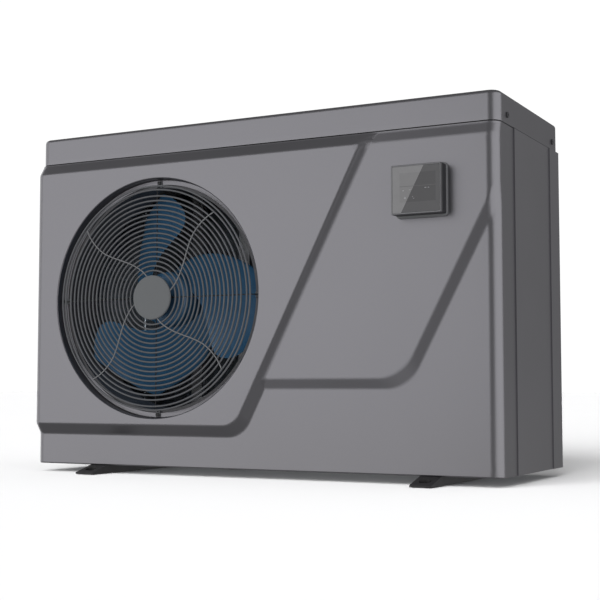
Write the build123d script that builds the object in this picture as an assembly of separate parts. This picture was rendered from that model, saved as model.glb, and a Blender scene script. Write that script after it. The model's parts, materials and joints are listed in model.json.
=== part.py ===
"""Inverter pool heat pump unit, as an assembly of separate pieces.

Frame: X is the width (+X to the right of somebody facing the fan), Y runs from front to back,
Z is up.  The origin is on the ground at the centre of the outer box.  Depths in this file are
measured backwards from the front face of the top cover, and the helpers turn them into Y.
"""
import os
from math import cos, pi, radians, sin, tan

from build123d import *

# ---- Overall size, millimetres ----
HEIGHT = 648.0            # ground to the top of the cover
CASE_BOTTOM = 16.0        # ground to the lower edge of the casing
COVER_HEIGHT = 51.5       # height of the top cover's skirt
COVER_DEPTH = 330.0
CASE_DEPTH = 331.0        # back face of the rear panel
COVER_SIDE = 470.4        # outer side plane of the top cover
FRONT_SIDE = 470.2        # outer side plane of the front panel's wraps
SIDE = 472.2              # outer side plane of the side panels
REAR_SIDE = 474.2         # outer side plane of the rear panel's wraps
CORNER_ROUND = 20.0       # upright front corners of the casing and the cover
FLANGE_DEPTH = 20.0       # how far back the front panel's upper and lower flanges reach
WRAP_DEPTH = 90.0         # how far back its side wraps reach
SHEET = 2.0
SEAL = 1.5                # gasket under the top cover
NOSE_REACH = 48.5         # foot rails in front of the cover's face
UNION_REACH = 58.0        # water unions behind the rear panel
TAIL_REACH = 41.0         # foot rails behind the rear panel

COVER_BOTTOM = HEIGHT - COVER_HEIGHT
BODY_TOP = COVER_BOTTOM - SEAL
FRONT_Y = -(CASE_DEPTH + UNION_REACH - NOSE_REACH) / 2

# ---- Relief of the front panel: how far each level stands in front of the cover's face ----
BASE_PROUD = 3.4
MIDDLE_PROUD = 8.8
FAN_PAD_PROUD = 16.1
FAN_PAD_SLOPE = 20.0
MIDDLE_SLOPE = 18.0
PAD_TOP = 575.0
FAN_PAD_BOTTOM = 92.5
MIDDLE_PAD_BOTTOM = 177.0
FAN_PAD_CORNER_X = -17.7
MIDDLE_CORNER_X = 300.9
FAN_PAD_LEAN = 27.0       # the slanted edges lean from the vertical, degrees
MIDDLE_LEAN = 27.6
FAN_PAD_RADIUS = 44.0
MIDDLE_RADIUS = 75.0

# ---- Fan and its opening ----
FAN_X = -191.3
FAN_Z = 326.5
OPENING_R = 221.5
LEDGE_R = 211.0
LEDGE_DEPTH = 4.0
THROAT_R = 206.0
THROAT_LENGTH = 78.0
FAN_R = 200.0
HUB_R = 52.0
BLADE_COUNT = 3
BLADE_FRONT = 32.0                    # depth of the blades' front edges
BLADE_STARTS = (138.0, 79.0, 93.0)    # front edge at the hub, halfway and at the tip, degrees
BLADE_SPANS = (108.0, 83.0, 33.0)     # angle from front to back edge at the same three places
BLADE_ROOT_DEPTH = 54.0
BLADE_TIP_DEPTH = 92.0
BLADE_THICKNESS = 3.0
HUB_FRONT = 20.0
HUB_LENGTH = 96.0

SHAFT_R = 6.0
MOTOR_FRONT = 150.0
MOTOR_R = 62.0
MOTOR_LENGTH = 72.0

# ---- Grille ----
RING_FIRST = 50.0
RING_PITCH = 8.65
RING_COUNT = 17
RING_OUTER = (200.0, 207.0)
WIRE = 3.4
GRILLE_DEPTH = -17.0      # middle of the ring wires
DISC_R = 41.0
DISC_DEPTH = -21.8
CLIP_R = 215.5

# ---- Casing details ----
COVER_SCREW_Z = 611.5
COVER_SCREW_DEPTHS = (44.0, 302.0)
GUARD_WIRE = 3.0          # wires of the coil guards
DRAIN = (-150.0, 200.0)   # X and depth of the condensate drain
GLAND_X = 230.0
GLAND_R = 10.0

# ---- Feet ----
FOOT_WIDTH = 38.0
FOOT_X = (-320.0, 349.0)
FOOT_PAD_DEPTHS = (40.0, 292.0)
ANCHOR_DEPTHS = (-27.0, 352.0)
ANCHOR_R = 5.5
ANCHOR_SEAT = 7.0
NOSE_HEIGHT = 4.0
RAIL_LIFT = 1.0           # rails stand on rubber, this far above the ground
RAIL_WALL = 3.0

# ---- Display ----
DISPLAY_X = 340.3
DISPLAY_Z = 486.5
DISPLAY_WIDTH = 89.0
DISPLAY_TALL = 82.0
DISPLAY_BASE = (91.0, 90.0, 6.0)
DISPLAY_FRONT = -38.0
GLASS = 2.4
DISPLAY_WALL = 2.0

# ---- Compartments and water side ----
PARTITION_X = 154.0
COIL_THICKNESS = 40.0
COIL_LEFT = -455.0
COIL_RIGHT = 132.0
COIL_BACK = 319.0
COIL_FRONT = 104.0
COIL_BOTTOM = 30.0
COIL_TOP = 588.0
WINDOW_MARGIN = 22.0
EXCHANGER = (392.0, 150.0)    # X and depth of the heat exchanger's axis
EXCHANGER_R = 57.0
EXCHANGER_BOTTOM = 40.0
EXCHANGER_TOP = 440.0
WATER_Z = (120.0, 330.0)      # inlet, outlet
PIPE_R = 25.0
PIPE_BORE = 21.5
UNION_R = 37.0
SOCKET_R = 25.1
SOCKET_LENGTH = 30.0
COMPRESSOR = (242.0, 140.0)
COMPRESSOR_R = 58.0
COMPRESSOR_BOTTOM = 48.0
COMPRESSOR_TOP = 300.0
ACCUMULATOR = (225.0, 258.0)
ACCUMULATOR_R = 33.0
BOX_BOTTOM = 470.0            # control box
VALVE = (250.0, 230.0, 400.0)         # X, depth and Z of the reversing valve
EXPANSION = (300.0, 285.0, 300.0)     # X, depth and Z of the expansion valve
SEAL_THICK = 2.0
SWITCH_DEPTH = 262.0          # flow switch on the inlet pipe
GAP = 0.3                     # clearance between neighbouring pieces


# ---- Helpers: every depth is measured back from the cover's front face ----
def block(x0, x1, d0, d1, z0, z1):
    size = (x1 - x0, d1 - d0, z1 - z0)
    return Pos((x0 + x1) / 2, FRONT_Y + (d0 + d1) / 2, (z0 + z1) / 2) * Box(*size)


def rod_x(x0, x1, depth, z, radius):
    return Pos((x0 + x1) / 2, FRONT_Y + depth, z) * Rot(0, 90, 0) * Cylinder(radius, x1 - x0)


def rod_y(x, z, d0, d1, radius):
    return Pos(x, FRONT_Y + (d0 + d1) / 2, z) * Rot(90, 0, 0) * Cylinder(radius, d1 - d0)


def rod_z(x, depth, z0, z1, radius):
    return Pos(x, FRONT_Y + depth, (z0 + z1) / 2) * Cylinder(radius, z1 - z0)


def ring_y(x, z, d0, d1, outer, inner):
    return rod_y(x, z, d0, d1, outer) - rod_y(x, z, d0 - 1, d1 + 1, inner)


def ring_z(x, depth, z0, z1, outer, inner):
    return rod_z(x, depth, z0, z1, outer) - rod_z(x, depth, z0 - 1, z1 + 1, inner)


def facing(depth):
    """A plane that faces the viewer: local x is X, local y is Z, extrusions come forwards."""
    return Plane(origin=(0, FRONT_Y + depth, 0), x_dir=(1, 0, 0), z_dir=(0, -1, 0))


def plan(z):
    """A level plane whose local y is the depth behind the cover's face."""
    return Plane(origin=(0, FRONT_Y, z), x_dir=(1, 0, 0), z_dir=(0, 0, 1))


def hexagon(x, z, d0, d1, across):
    outline = RegularPolygon(across / 2, 6, major_radius=False)
    return extrude(facing(d1) * Pos(x, z) * outline, d1 - d0)


def pipe(points, bend, radius):
    """A tube's solid outline along straight runs (x, depth, z) joined by tangent arcs."""
    route = [Vector(x, FRONT_Y + d, z) for x, d, z in points]
    path = FilletPolyline(*route, radius=bend)
    start = Plane(origin=path @ 0, z_dir=path % 0)
    return sweep(start * Circle(radius), path=path)


def group(shapes):
    """Separate solids kept in one node."""
    solids = []
    for shape in shapes:
        solids.extend(shape.solids())
    return Compound(children=solids)


# ---- Front panel ----
def fan_pad_outline(grow):
    """The fan pad's outline, grown outwards; it runs out past the block's left edge."""
    lean = tan(radians(FAN_PAD_LEAN))
    reach = grow / cos(radians(FAN_PAD_LEAN))
    bottom = FAN_PAD_BOTTOM - grow
    top = PAD_TOP + grow
    foot = FAN_PAD_CORNER_X + reach - grow * lean
    left = -FRONT_SIDE - 60.0
    outline = Polyline(
        (left, bottom), (foot, bottom), (foot + (top - bottom) * lean, top), (left, top), close=True
    )
    face = make_face(outline)
    corner = face.vertices().sort_by_distance((foot, bottom, 0))[0]
    return fillet(corner, FAN_PAD_RADIUS)


def middle_pad_outline(grow):
    lean = tan(radians(MIDDLE_LEAN))
    reach = grow / cos(radians(MIDDLE_LEAN))
    bottom = MIDDLE_PAD_BOTTOM - grow
    top = PAD_TOP + grow
    foot = MIDDLE_CORNER_X + reach - grow * lean
    left = FAN_PAD_CORNER_X - 80.0
    outline = Polyline(
        (left, bottom), (foot, bottom), (foot + (top - bottom) * lean, top), (left, top), close=True
    )
    face = make_face(outline)
    corner = face.vertices().sort_by_distance((foot, bottom, 0))[0]
    return fillet(corner, MIDDLE_RADIUS)


def raised_pad(outline, slope, proud):
    """A pad that rises from the base level to its own level over a sloped border."""
    low = facing(-BASE_PROUD) * outline(slope)
    high = facing(-proud) * outline(0)
    border = loft([low, high], ruled=True)
    foot = extrude(facing(WRAP_DEPTH) * outline(slope), WRAP_DEPTH + BASE_PROUD)
    return border + foot


def rounded_front(proud, inset):
    """A block the size of the front panel with rounded upright front corners, shrunk by an inset."""
    half = FRONT_SIDE - inset
    front = -proud + inset
    shape = block(-half, half, front, WRAP_DEPTH, CASE_BOTTOM, BODY_TOP)
    upright = shape.edges().filter_by(Axis.Z)
    corners = upright.filter_by(lambda e: e.center().Y < FRONT_Y + front + 1)
    return fillet(corners, CORNER_ROUND - inset)


def relief_body(inset):
    """The front panel's outer shape, with its pads, shrunk by an inset."""
    fan_pad = raised_pad(fan_pad_outline, FAN_PAD_SLOPE, FAN_PAD_PROUD)
    middle_pad = raised_pad(middle_pad_outline, MIDDLE_SLOPE, MIDDLE_PROUD)
    body = rounded_front(BASE_PROUD, inset)
    body += (Pos(0, inset, 0) * fan_pad) & rounded_front(FAN_PAD_PROUD, inset)
    body += (Pos(0, inset, 0) * middle_pad) & rounded_front(MIDDLE_PROUD, inset)
    return body


def front_panel():
    inner = FRONT_SIDE - SHEET
    flanged = block(-inner, inner, -40, FLANGE_DEPTH, CASE_BOTTOM + SHEET, BODY_TOP - SHEET)
    open_back = block(-inner, inner, FLANGE_DEPTH, WRAP_DEPTH + 1, CASE_BOTTOM - 1, BODY_TOP + 1)
    panel = relief_body(0) - (relief_body(SHEET) & flanged) - open_back
    panel -= rod_y(FAN_X, FAN_Z, -30, 30, OPENING_R)
    wall = ring_y(FAN_X, FAN_Z, -FAN_PAD_PROUD, LEDGE_DEPTH + SHEET, OPENING_R + SHEET, OPENING_R)
    ledge = ring_y(FAN_X, FAN_Z, LEDGE_DEPTH, LEDGE_DEPTH + SHEET, OPENING_R + SHEET, LEDGE_R)
    panel += wall + ledge
    for angle in range(0, 360, 90):
        x = FAN_X + CLIP_R * cos(radians(angle))
        z = FAN_Z + CLIP_R * sin(radians(angle))
        panel -= rod_y(x, z, LEDGE_DEPTH - 1, LEDGE_DEPTH + SHEET + 1, 1.8)
    return panel - rod_y(DISPLAY_X, DISPLAY_Z, -20, 10, 12)


# ---- Rest of the casing ----
def side_sheet(side, d0, d1, outer_x, z0, z1):
    inner = side * (outer_x - SHEET)
    outer = side * outer_x
    return block(min(inner, outer), max(inner, outer), d0, d1, z0, z1)


def side_panel(side, window):
    panel = side_sheet(side, 77, 287, SIDE, CASE_BOTTOM, BODY_TOP)
    edge = side * (SIDE - SHEET)
    flange_in = side * (SIDE - 14)
    for z0 in (CASE_BOTTOM + SHEET + 30, BODY_TOP - SHEET):
        panel += block(min(flange_in, edge), max(flange_in, edge), 92, 273, z0, z0 + SHEET)
    if window:
        near, far = sorted((side * (SIDE + 1), side * (SIDE - SHEET - 1)))
        panel -= block(near, far, COIL_FRONT + 12, 263, COIL_BOTTOM + 32, COIL_TOP - WINDOW_MARGIN)
    return panel


def left_side_panel():
    return side_panel(-1, True)


def right_side_panel():
    return side_panel(1, False)


def rear_panel():
    back = CASE_DEPTH - SHEET
    panel = block(-REAR_SIDE, REAR_SIDE, back, CASE_DEPTH, CASE_BOTTOM, BODY_TOP)
    for side in (-1, 1):
        panel += side_sheet(side, 275, CASE_DEPTH, REAR_SIDE, CASE_BOTTOM, BODY_TOP)
    window = block(
        COIL_LEFT + WINDOW_MARGIN, COIL_RIGHT - WINDOW_MARGIN, back - 1, CASE_DEPTH + 1,
        COIL_BOTTOM + WINDOW_MARGIN, COIL_TOP - WINDOW_MARGIN,
    )
    panel -= window
    for z in WATER_Z:
        panel -= rod_y(EXCHANGER[0], z, back - 1, CASE_DEPTH + 1, PIPE_R + 2)
    for z in gland_heights():
        panel -= rod_y(GLAND_X, z, back - 1, CASE_DEPTH + 1, GLAND_R + GAP)
    for x, z in rear_screw_places():
        panel -= rod_y(x, z, back - 1, CASE_DEPTH + 1, 2.2)
    return panel


def cover_outline(inset):
    """The cover's plan outline moved inwards, with its rounded front corners."""
    half = COVER_SIDE - inset
    front, back = inset, COVER_DEPTH - inset
    face = make_face(Polyline((-half, front), (half, front), (half, back), (-half, back), close=True))
    corners = face.vertices().filter_by(lambda v: v.Y < front + 1)
    return fillet(corners, CORNER_ROUND - inset)


def top_cover():
    """An upside-down tray with rounded upper edges and an inward lip to stand on the gasket."""
    shell = extrude(plan(COVER_BOTTOM) * cover_outline(0), COVER_HEIGHT)
    rear = shell.edges().filter_by(Axis.Z).filter_by(lambda e: e.center().Y > FRONT_Y + COVER_DEPTH - 1)
    shell = fillet(rear, 4)
    top_edges = shell.faces().sort_by(Axis.Z)[-1].outer_wire().edges()
    shell = fillet(top_edges, 7)
    room = extrude(plan(COVER_BOTTOM + SHEET) * cover_outline(SHEET + 0.5), COVER_HEIGHT - 2 * SHEET)
    mouth = extrude(plan(COVER_BOTTOM - 1) * cover_outline(12), 2 * SHEET)
    shell = shell - room - mouth
    for x, depth, z in cover_screw_places():
        shell -= rod_x(x - 6, x + 6, depth, z, 2.2)
    return shell


def lid_seal():
    ring = extrude(plan(BODY_TOP) * cover_outline(3), SEAL)
    return ring - extrude(plan(BODY_TOP - 1) * cover_outline(11), SEAL + 2)


def cover_screw_places():
    x = COVER_SIDE
    return [(side * x, depth, COVER_SCREW_Z) for side in (-1, 1) for depth in COVER_SCREW_DEPTHS]


def screw_along_x(x, depth, z, side):
    """A flanged screw whose head seats on a face at x and points outwards."""
    head = rod_x(min(x, x + side * 2.4), max(x, x + side * 2.4), depth, z, 5.0)
    slot = block(x + side * 1.6 - 1, x + side * 1.6 + 1, depth - 3, depth + 3, z - 0.6, z + 0.6)
    cross = block(x + side * 1.6 - 1, x + side * 1.6 + 1, depth - 0.6, depth + 0.6, z - 3, z + 3)
    shank = rod_x(min(x, x - side * 9), max(x, x - side * 9), depth, z, 2.0)
    return head - slot - cross + shank


def screw_along_y(x, z, depth, length=9.0, head_r=5.0, facing_back=True):
    """A flanged screw whose head seats on a face at the given depth."""
    way = 1 if facing_back else -1
    low, high = sorted((depth, depth + way * 2.2))
    head = rod_y(x, z, low, high, head_r)
    slot_at = depth + way * 2.0
    slot = block(x - 3, x + 3, slot_at - 0.8, slot_at + 0.8, z - 0.6, z + 0.6)
    cross = block(x - 0.6, x + 0.6, slot_at - 0.8, slot_at + 0.8, z - 3, z + 3)
    low, high = sorted((depth, depth - way * length))
    return head - slot - cross + rod_y(x, z, low, high, 1.6)


def top_cover_screws():
    return group([screw_along_x(x, d, z, 1 if x > 0 else -1) for x, d, z in cover_screw_places()])


def rear_screw_places():
    columns = (-460.0, 141.0, 460.0)
    rows = (40.0, 306.0, 580.0)
    return [(x, z) for x in columns for z in rows]


def rear_panel_screws():
    return group([screw_along_y(x, z, CASE_DEPTH) for x, z in rear_screw_places()])


def spread(first, last, count):
    return [first + (last - first) * i / (count - 1) for i in range(count)]


def wire_mesh(x_span, y_span, columns, rows, plane):
    """A welded wire mesh: upright wires nearest the sheet, level wires welded behind them.

    The plane's local x and y span the mesh, and extrusions go inwards from the sheet.
    """
    half = GUARD_WIRE / 2
    x_mid = (x_span[0] + x_span[1]) / 2
    y_mid = (y_span[0] + y_span[1]) / 2
    wires = []
    for x in spread(x_span[0] + half, x_span[1] - half, columns):
        wire = Pos(x, y_mid) * Rectangle(GUARD_WIRE, y_span[1] - y_span[0])
        wires.append(extrude(plane * wire, GUARD_WIRE))
    behind = plane.offset(GUARD_WIRE)
    for y in spread(y_span[0] + half, y_span[1] - half, rows):
        wire = Pos(x_mid, y) * Rectangle(x_span[1] - x_span[0], GUARD_WIRE)
        wires.append(extrude(behind * wire, GUARD_WIRE))
    return group(wires)


def rear_coil_guard():
    """Wire mesh across the rear window, just inside the panel."""
    inside = CASE_DEPTH - SHEET
    z_span = (COIL_BOTTOM + 18, COIL_TOP - 14)
    return wire_mesh((COIL_LEFT + 14, COIL_RIGHT - 14), z_span, 15, 14, facing(inside))


def left_coil_guard():
    """Wire mesh inside the left panel's window."""
    z_span = (COIL_BOTTOM + 24, COIL_TOP - 14)
    plane = Plane(origin=(-(SIDE - SHEET), FRONT_Y, 0), x_dir=(0, 1, 0), z_dir=(1, 0, 0))
    return wire_mesh((COIL_FRONT + 4, 271.0), z_span, 5, 13, plane)


# ---- Base and feet ----
def foot_bolt_places():
    return [(x, depth) for x in FOOT_X for depth in FOOT_PAD_DEPTHS]


def base_pan():
    half = FRONT_SIDE - SHEET - GAP
    front = FLANGE_DEPTH + SHEET + GAP
    back = CASE_DEPTH - SHEET - GAP
    pan = block(-half, half, front, back, CASE_BOTTOM, CASE_BOTTOM + 30)
    pan -= block(-half + SHEET, half - SHEET, front + SHEET, back - SHEET,
                 CASE_BOTTOM + SHEET, CASE_BOTTOM + 31)
    for x, depth in foot_bolt_places():
        pan -= rod_z(x, depth, CASE_BOTTOM - 1, CASE_BOTTOM + SHEET + 1, 4.2)
    for x, depth in compressor_feet():
        pan -= rod_z(x, depth, CASE_BOTTOM - 1, CASE_BOTTOM + SHEET + 1, 4.2)
    pan -= rod_z(*DRAIN, CASE_BOTTOM - 1, CASE_BOTTOM + SHEET + 1, 9.0)
    for x, z in rear_screw_places():
        pan -= rod_y(x, z, back - SHEET - 1, back + 1, 2.2)
    return pan


def foot_rail(x):
    """A channel under the casing with a solid sloped nose at each end."""
    low = RAIL_LIFT
    profile = Polyline(
        (-NOSE_REACH, low), (-NOSE_REACH, NOSE_HEIGHT), (-BASE_PROUD, CASE_BOTTOM),
        (CASE_DEPTH, CASE_BOTTOM), (CASE_DEPTH + TAIL_REACH, NOSE_HEIGHT),
        (CASE_DEPTH + TAIL_REACH, low), close=True,
    )
    plane = Plane(origin=(x - FOOT_WIDTH / 2, FRONT_Y, 0), x_dir=(0, 1, 0), z_dir=(1, 0, 0))
    rail = extrude(plane * make_face(profile), FOOT_WIDTH)
    half = FOOT_WIDTH / 2 - RAIL_WALL
    rail -= block(x - half, x + half, 0, CASE_DEPTH - 4, low - 1, CASE_BOTTOM - RAIL_WALL)
    for depth in FOOT_PAD_DEPTHS:
        rail -= rod_z(x, depth, low, CASE_BOTTOM + 1, 4.2)
    for depth in ANCHOR_DEPTHS:
        rail -= rod_z(x, depth, low - 1, CASE_BOTTOM, ANCHOR_R)
        rail -= rod_z(x, depth, ANCHOR_SEAT, CASE_BOTTOM, ANCHOR_R + 5)
    return rail


def left_foot_rail():
    return foot_rail(FOOT_X[0])


def right_foot_rail():
    return foot_rail(FOOT_X[1])


def foot_pads():
    """Rubber blocks that fill the channel at four places and carry the unit."""
    half = FOOT_WIDTH / 2 - RAIL_WALL - GAP
    pads = []
    for x in FOOT_X:
        for depth in (FOOT_PAD_DEPTHS[0] + 45, FOOT_PAD_DEPTHS[1] - 45):
            pads.append(block(x - half, x + half, depth - 25, depth + 25, 0, CASE_BOTTOM - RAIL_WALL))
        for end in (8.0, CASE_DEPTH - 12):
            pads.append(block(x - half, x + half, end - 7, end + 7, 0, CASE_BOTTOM - RAIL_WALL))
    return group(pads)


def foot_bolts():
    """A hexagon bolt down through the pan and the rail, with its nut inside the channel."""
    parts = []
    for x, depth in foot_bolt_places():
        hexagon_face = plan(CASE_BOTTOM + SHEET) * Pos(x, depth) * RegularPolygon(6.5, 6, major_radius=False)
        parts.append(extrude(hexagon_face, 5.3) + rod_z(x, depth, 6.0, CASE_BOTTOM + SHEET, 3.9))
        nut_face = plan(CASE_BOTTOM - RAIL_WALL - 5.0) * Pos(x, depth) * RegularPolygon(6.5, 6, major_radius=False)
        parts.append(extrude(nut_face, 5.0) - rod_z(x, depth, 5.0, 16.0, 4.0))
    return group(parts)


def drain_spout():
    x, depth = DRAIN
    flange = ring_z(x, depth, CASE_BOTTOM + SHEET, CASE_BOTTOM + SHEET + 3, 14, 6)
    return flange + ring_z(x, depth, 4.0, CASE_BOTTOM + SHEET, 8.7, 6)


# ---- Fan group ----
def fan_shroud():
    """Bell-mouth ring behind the front panel's ledge."""
    front = LEDGE_DEPTH + SHEET
    flange = ring_y(FAN_X, FAN_Z, front, front + SHEET, 232, THROAT_R)
    throat = ring_y(FAN_X, FAN_Z, front, front + THROAT_LENGTH, THROAT_R + SHEET, THROAT_R)
    shroud = flange + throat
    for angle in range(0, 360, 90):
        x = FAN_X + CLIP_R * cos(radians(angle))
        z = FAN_Z + CLIP_R * sin(radians(angle))
        shroud -= rod_y(x, z, front - 1, front + SHEET + 1, 1.8)
    return shroud


def spoke_angle(radius):
    """Angle of an S-curved spoke at a radius, degrees past its starting direction."""
    turn = 52.0
    if radius < 150:
        return turn - 34.0 * ((150 - radius) / 107) ** 2
    return turn - 3.5 * ((radius - 150) / 50) ** 2


def curved_spoke(start, width):
    """A thin strip that follows the spoke's curve, in the grille's plane."""
    radii = spread(30.0, RING_OUTER[0], 9)
    centre = []
    for radius in radii:
        angle = radians(start + spoke_angle(radius))
        centre.append((FAN_X + radius * cos(angle), FAN_Z + radius * sin(angle)))
    line = Spline(*centre)
    return trace(line, line_width=width)


def annulus(outer, inner):
    return Pos(FAN_X, FAN_Z) * (Circle(outer) - Circle(inner))


def fan_grille():
    """Concentric wires joined by S-curved spokes, with four straight stays behind."""
    half = WIRE / 2
    rings = Sketch()
    radii = [RING_FIRST + RING_PITCH * i for i in range(RING_COUNT)] + list(RING_OUTER)
    for radius in radii:
        rings += annulus(radius + half, radius - half)
    grille = extrude(facing(GRILLE_DEPTH + half) * rings, WIRE)
    spokes = Sketch()
    for quarter in range(4):
        spokes += curved_spoke(90.0 * quarter, 2.4)
    spokes += annulus(38, 28)
    front = GRILLE_DEPTH - half
    grille += extrude(facing(front) * spokes, 2.2)
    for quarter in range(4):
        turn = Pos(FAN_X, FRONT_Y, FAN_Z) * Rot(0, -90 * quarter, 0)
        stay = Pos(113, -5, 0) * Box(186, 2.6, 2.6)
        root = Pos(33, (GRILLE_DEPTH - half - 3.7) / 2, 0) * Box(8, 15.6, 6)
        leg = Pos(206.5, (GRILLE_DEPTH + LEDGE_DEPTH) / 2, 0) * Box(4.4, LEDGE_DEPTH - GRILLE_DEPTH, 10)
        tab = Pos(212, LEDGE_DEPTH - 1, 0) * Box(15, 2, 10)
        hole = Pos(CLIP_R, LEDGE_DEPTH, 0) * Rot(90, 0, 0) * Cylinder(1.8, 8)
        grille += turn * (stay + root + leg + tab)
        grille -= turn * hole
    return grille


def grille_disc():
    """Plain round plate clipped over the grille's middle."""
    face = DISC_DEPTH
    back = GRILLE_DEPTH - WIRE / 2 - 2.2
    plate = rod_y(FAN_X, FAN_Z, face, back, DISC_R)
    edge = plate.edges().filter_by(GeomType.CIRCLE).sort_by(Axis.Y)[0]
    return fillet(edge, 0.6)


def grille_screws():
    screws = []
    for angle in range(0, 360, 90):
        x = FAN_X + CLIP_R * cos(radians(angle))
        z = FAN_Z + CLIP_R * sin(radians(angle))
        screws.append(screw_along_y(x, z, LEDGE_DEPTH - 2, 10.0, 3.4, facing_back=False))
    return group(screws)


def through_three(values, share):
    """Smooth value along a blade from its hub, halfway and tip values."""
    root, middle, tip = values
    return root * (1 - share) * (1 - 2 * share) + 4 * middle * share * (1 - share) + tip * share * (2 * share - 1)


def blade_point(index, along, radius_share):
    """A point of a blade: along goes from the front edge to the back one, 0 to 1."""
    radius = HUB_R - 3 + (FAN_R - HUB_R + 3) * radius_share
    start = through_three(BLADE_STARTS, radius_share) + 360.0 / BLADE_COUNT * index
    angle = radians(start + through_three(BLADE_SPANS, radius_share) * along)
    reach = BLADE_ROOT_DEPTH + (BLADE_TIP_DEPTH - BLADE_ROOT_DEPTH) * radius_share
    depth = BLADE_FRONT + reach * along + 6.0 * sin(pi * along)
    return (FAN_X + radius * cos(angle), FRONT_Y + depth, FAN_Z + radius * sin(angle))


def blade(index):
    grid = []
    for i in range(7):
        grid.append([Vector(*blade_point(index, i / 6, j / 5)) for j in range(6)])
    surface = Face.make_surface_from_array_of_points(grid)
    return Solid.thicken(surface, BLADE_THICKNESS)


def fan():
    hub = rod_y(FAN_X, FAN_Z, HUB_FRONT, HUB_FRONT + HUB_LENGTH, HUB_R)
    nose = hub.edges().filter_by(GeomType.CIRCLE).sort_by(Axis.Y)[0]
    hub = fillet(nose, 8)
    hub -= rod_y(FAN_X, FAN_Z, HUB_FRONT + 14, HUB_FRONT + HUB_LENGTH + 1, HUB_R - 4)
    hub += rod_y(FAN_X, FAN_Z, HUB_FRONT + 10, HUB_FRONT + 60, 14)
    hub -= rod_y(FAN_X, FAN_Z, HUB_FRONT - 1, HUB_FRONT + 61, SHAFT_R)
    rotor = hub
    for index in range(BLADE_COUNT):
        rotor += blade(index)
    bore = rod_y(FAN_X, FAN_Z, HUB_FRONT + 14, HUB_FRONT + HUB_LENGTH + 10, HUB_R - 4)
    boss = rod_y(FAN_X, FAN_Z, HUB_FRONT, HUB_FRONT + 60, 14) - rod_y(
        FAN_X, FAN_Z, HUB_FRONT - 1, HUB_FRONT + 61, SHAFT_R
    )
    return rotor - bore + boss


def motor_shaft():
    return rod_y(FAN_X, FAN_Z, HUB_FRONT - 12, MOTOR_FRONT + 30, SHAFT_R)


def fan_nut():
    face = HUB_FRONT
    nut = hexagon(FAN_X, FAN_Z, face - 9, face, 22)
    return nut - rod_y(FAN_X, FAN_Z, face - 10, face + 1, SHAFT_R)


def fan_motor():
    body = rod_y(FAN_X, FAN_Z, MOTOR_FRONT, MOTOR_FRONT + MOTOR_LENGTH, MOTOR_R)
    rims = body.edges().filter_by(GeomType.CIRCLE)
    body = fillet(rims, 6)
    body += rod_y(FAN_X, FAN_Z, MOTOR_FRONT - 8, MOTOR_FRONT + 1, 16)
    return body - rod_y(FAN_X, FAN_Z, MOTOR_FRONT - 9, MOTOR_FRONT + 30.5, SHAFT_R + 0.05)


def motor_bracket():
    """Two posts from the base pan to the top flange, with a plate behind the motor."""
    back = MOTOR_FRONT + MOTOR_LENGTH
    bracket = block(FAN_X - 70, FAN_X + 70, back, back + 3, FAN_Z - 70, FAN_Z + 70)
    for side in (-1, 1):
        x = FAN_X + side * 55
        bracket += block(x - 12, x + 12, back, back + 18, CASE_BOTTOM + SHEET, BODY_TOP - 10)
    return bracket


# ---- Evaporator ----
def evaporator_fins():
    """The finned L-shaped block behind the rear and left windows."""
    rear_leg = block(COIL_LEFT, COIL_RIGHT, COIL_BACK - COIL_THICKNESS, COIL_BACK, COIL_BOTTOM, COIL_TOP)
    side_leg = block(COIL_LEFT, COIL_LEFT + COIL_THICKNESS, COIL_FRONT, COIL_BACK, COIL_BOTTOM, COIL_TOP)
    coil = rear_leg + side_leg
    outer = coil.edges().filter_by(Axis.Z).sort_by_distance((COIL_LEFT, FRONT_Y + COIL_BACK, 300))[0]
    return fillet(outer, 30)


def evaporator_end_plates():
    """Thin plates that close the coil at the partition and at the front left."""
    right = block(COIL_RIGHT, COIL_RIGHT + 1.5, COIL_BACK - COIL_THICKNESS, COIL_BACK, COIL_BOTTOM, COIL_TOP)
    left = block(COIL_LEFT, COIL_LEFT + COIL_THICKNESS, COIL_FRONT - 1.5, COIL_FRONT, COIL_BOTTOM, COIL_TOP)
    return group([right, left])


def evaporator_tubes():
    """Return bends that stand out of the coil's right end plate."""
    bends = []
    x = COIL_RIGHT + 1.5
    for row, depth in enumerate((COIL_BACK - 29, COIL_BACK - 11)):
        for i in range(10):
            z = COIL_BOTTOM + 32 + 50 * i + 12 * row
            ring = Pos(x, FRONT_Y + depth, z + 12.5) * Rot(90, 0, 0) * Torus(12.5, 4.5)
            bends.append(ring & block(x, x + 30, depth - 10, depth + 10, z - 10, z + 40))
    return group(bends)


# ---- Refrigerant side ----
def partition_panel():
    top = BODY_TOP - 14
    sheet = block(PARTITION_X, PARTITION_X + 1.5, 30, COIL_BACK, CASE_BOTTOM + SHEET, top)
    return sheet


def compressor_feet():
    x, depth = COMPRESSOR
    reach = COMPRESSOR_R + 16
    return [(x + reach * cos(radians(a)), depth + reach * sin(radians(a))) for a in (30, 150, 270)]


def compressor():
    x, depth = COMPRESSOR
    body = rod_z(x, depth, COMPRESSOR_BOTTOM - 18, COMPRESSOR_TOP, COMPRESSOR_R)
    rims = body.edges().filter_by(GeomType.CIRCLE)
    body = fillet(rims, 16)
    plate = extrude(plan(38) * Pos(x, depth) * RegularPolygon(COMPRESSOR_R + 18, 3, rotation=30), 3)
    for fx, fd in compressor_feet():
        plate += rod_z(fx, fd, 38, 41, 15)
        plate -= rod_z(fx, fd, 37, 42, 7)
    body += plate
    body += rod_z(x + 20, depth, COMPRESSOR_TOP - 2, COMPRESSOR_TOP + 12, 6)
    terminal = block(x - 30, x + 5, depth - 15, depth + 15, COMPRESSOR_TOP - 1, COMPRESSOR_TOP + 16)
    return body + terminal


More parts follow.
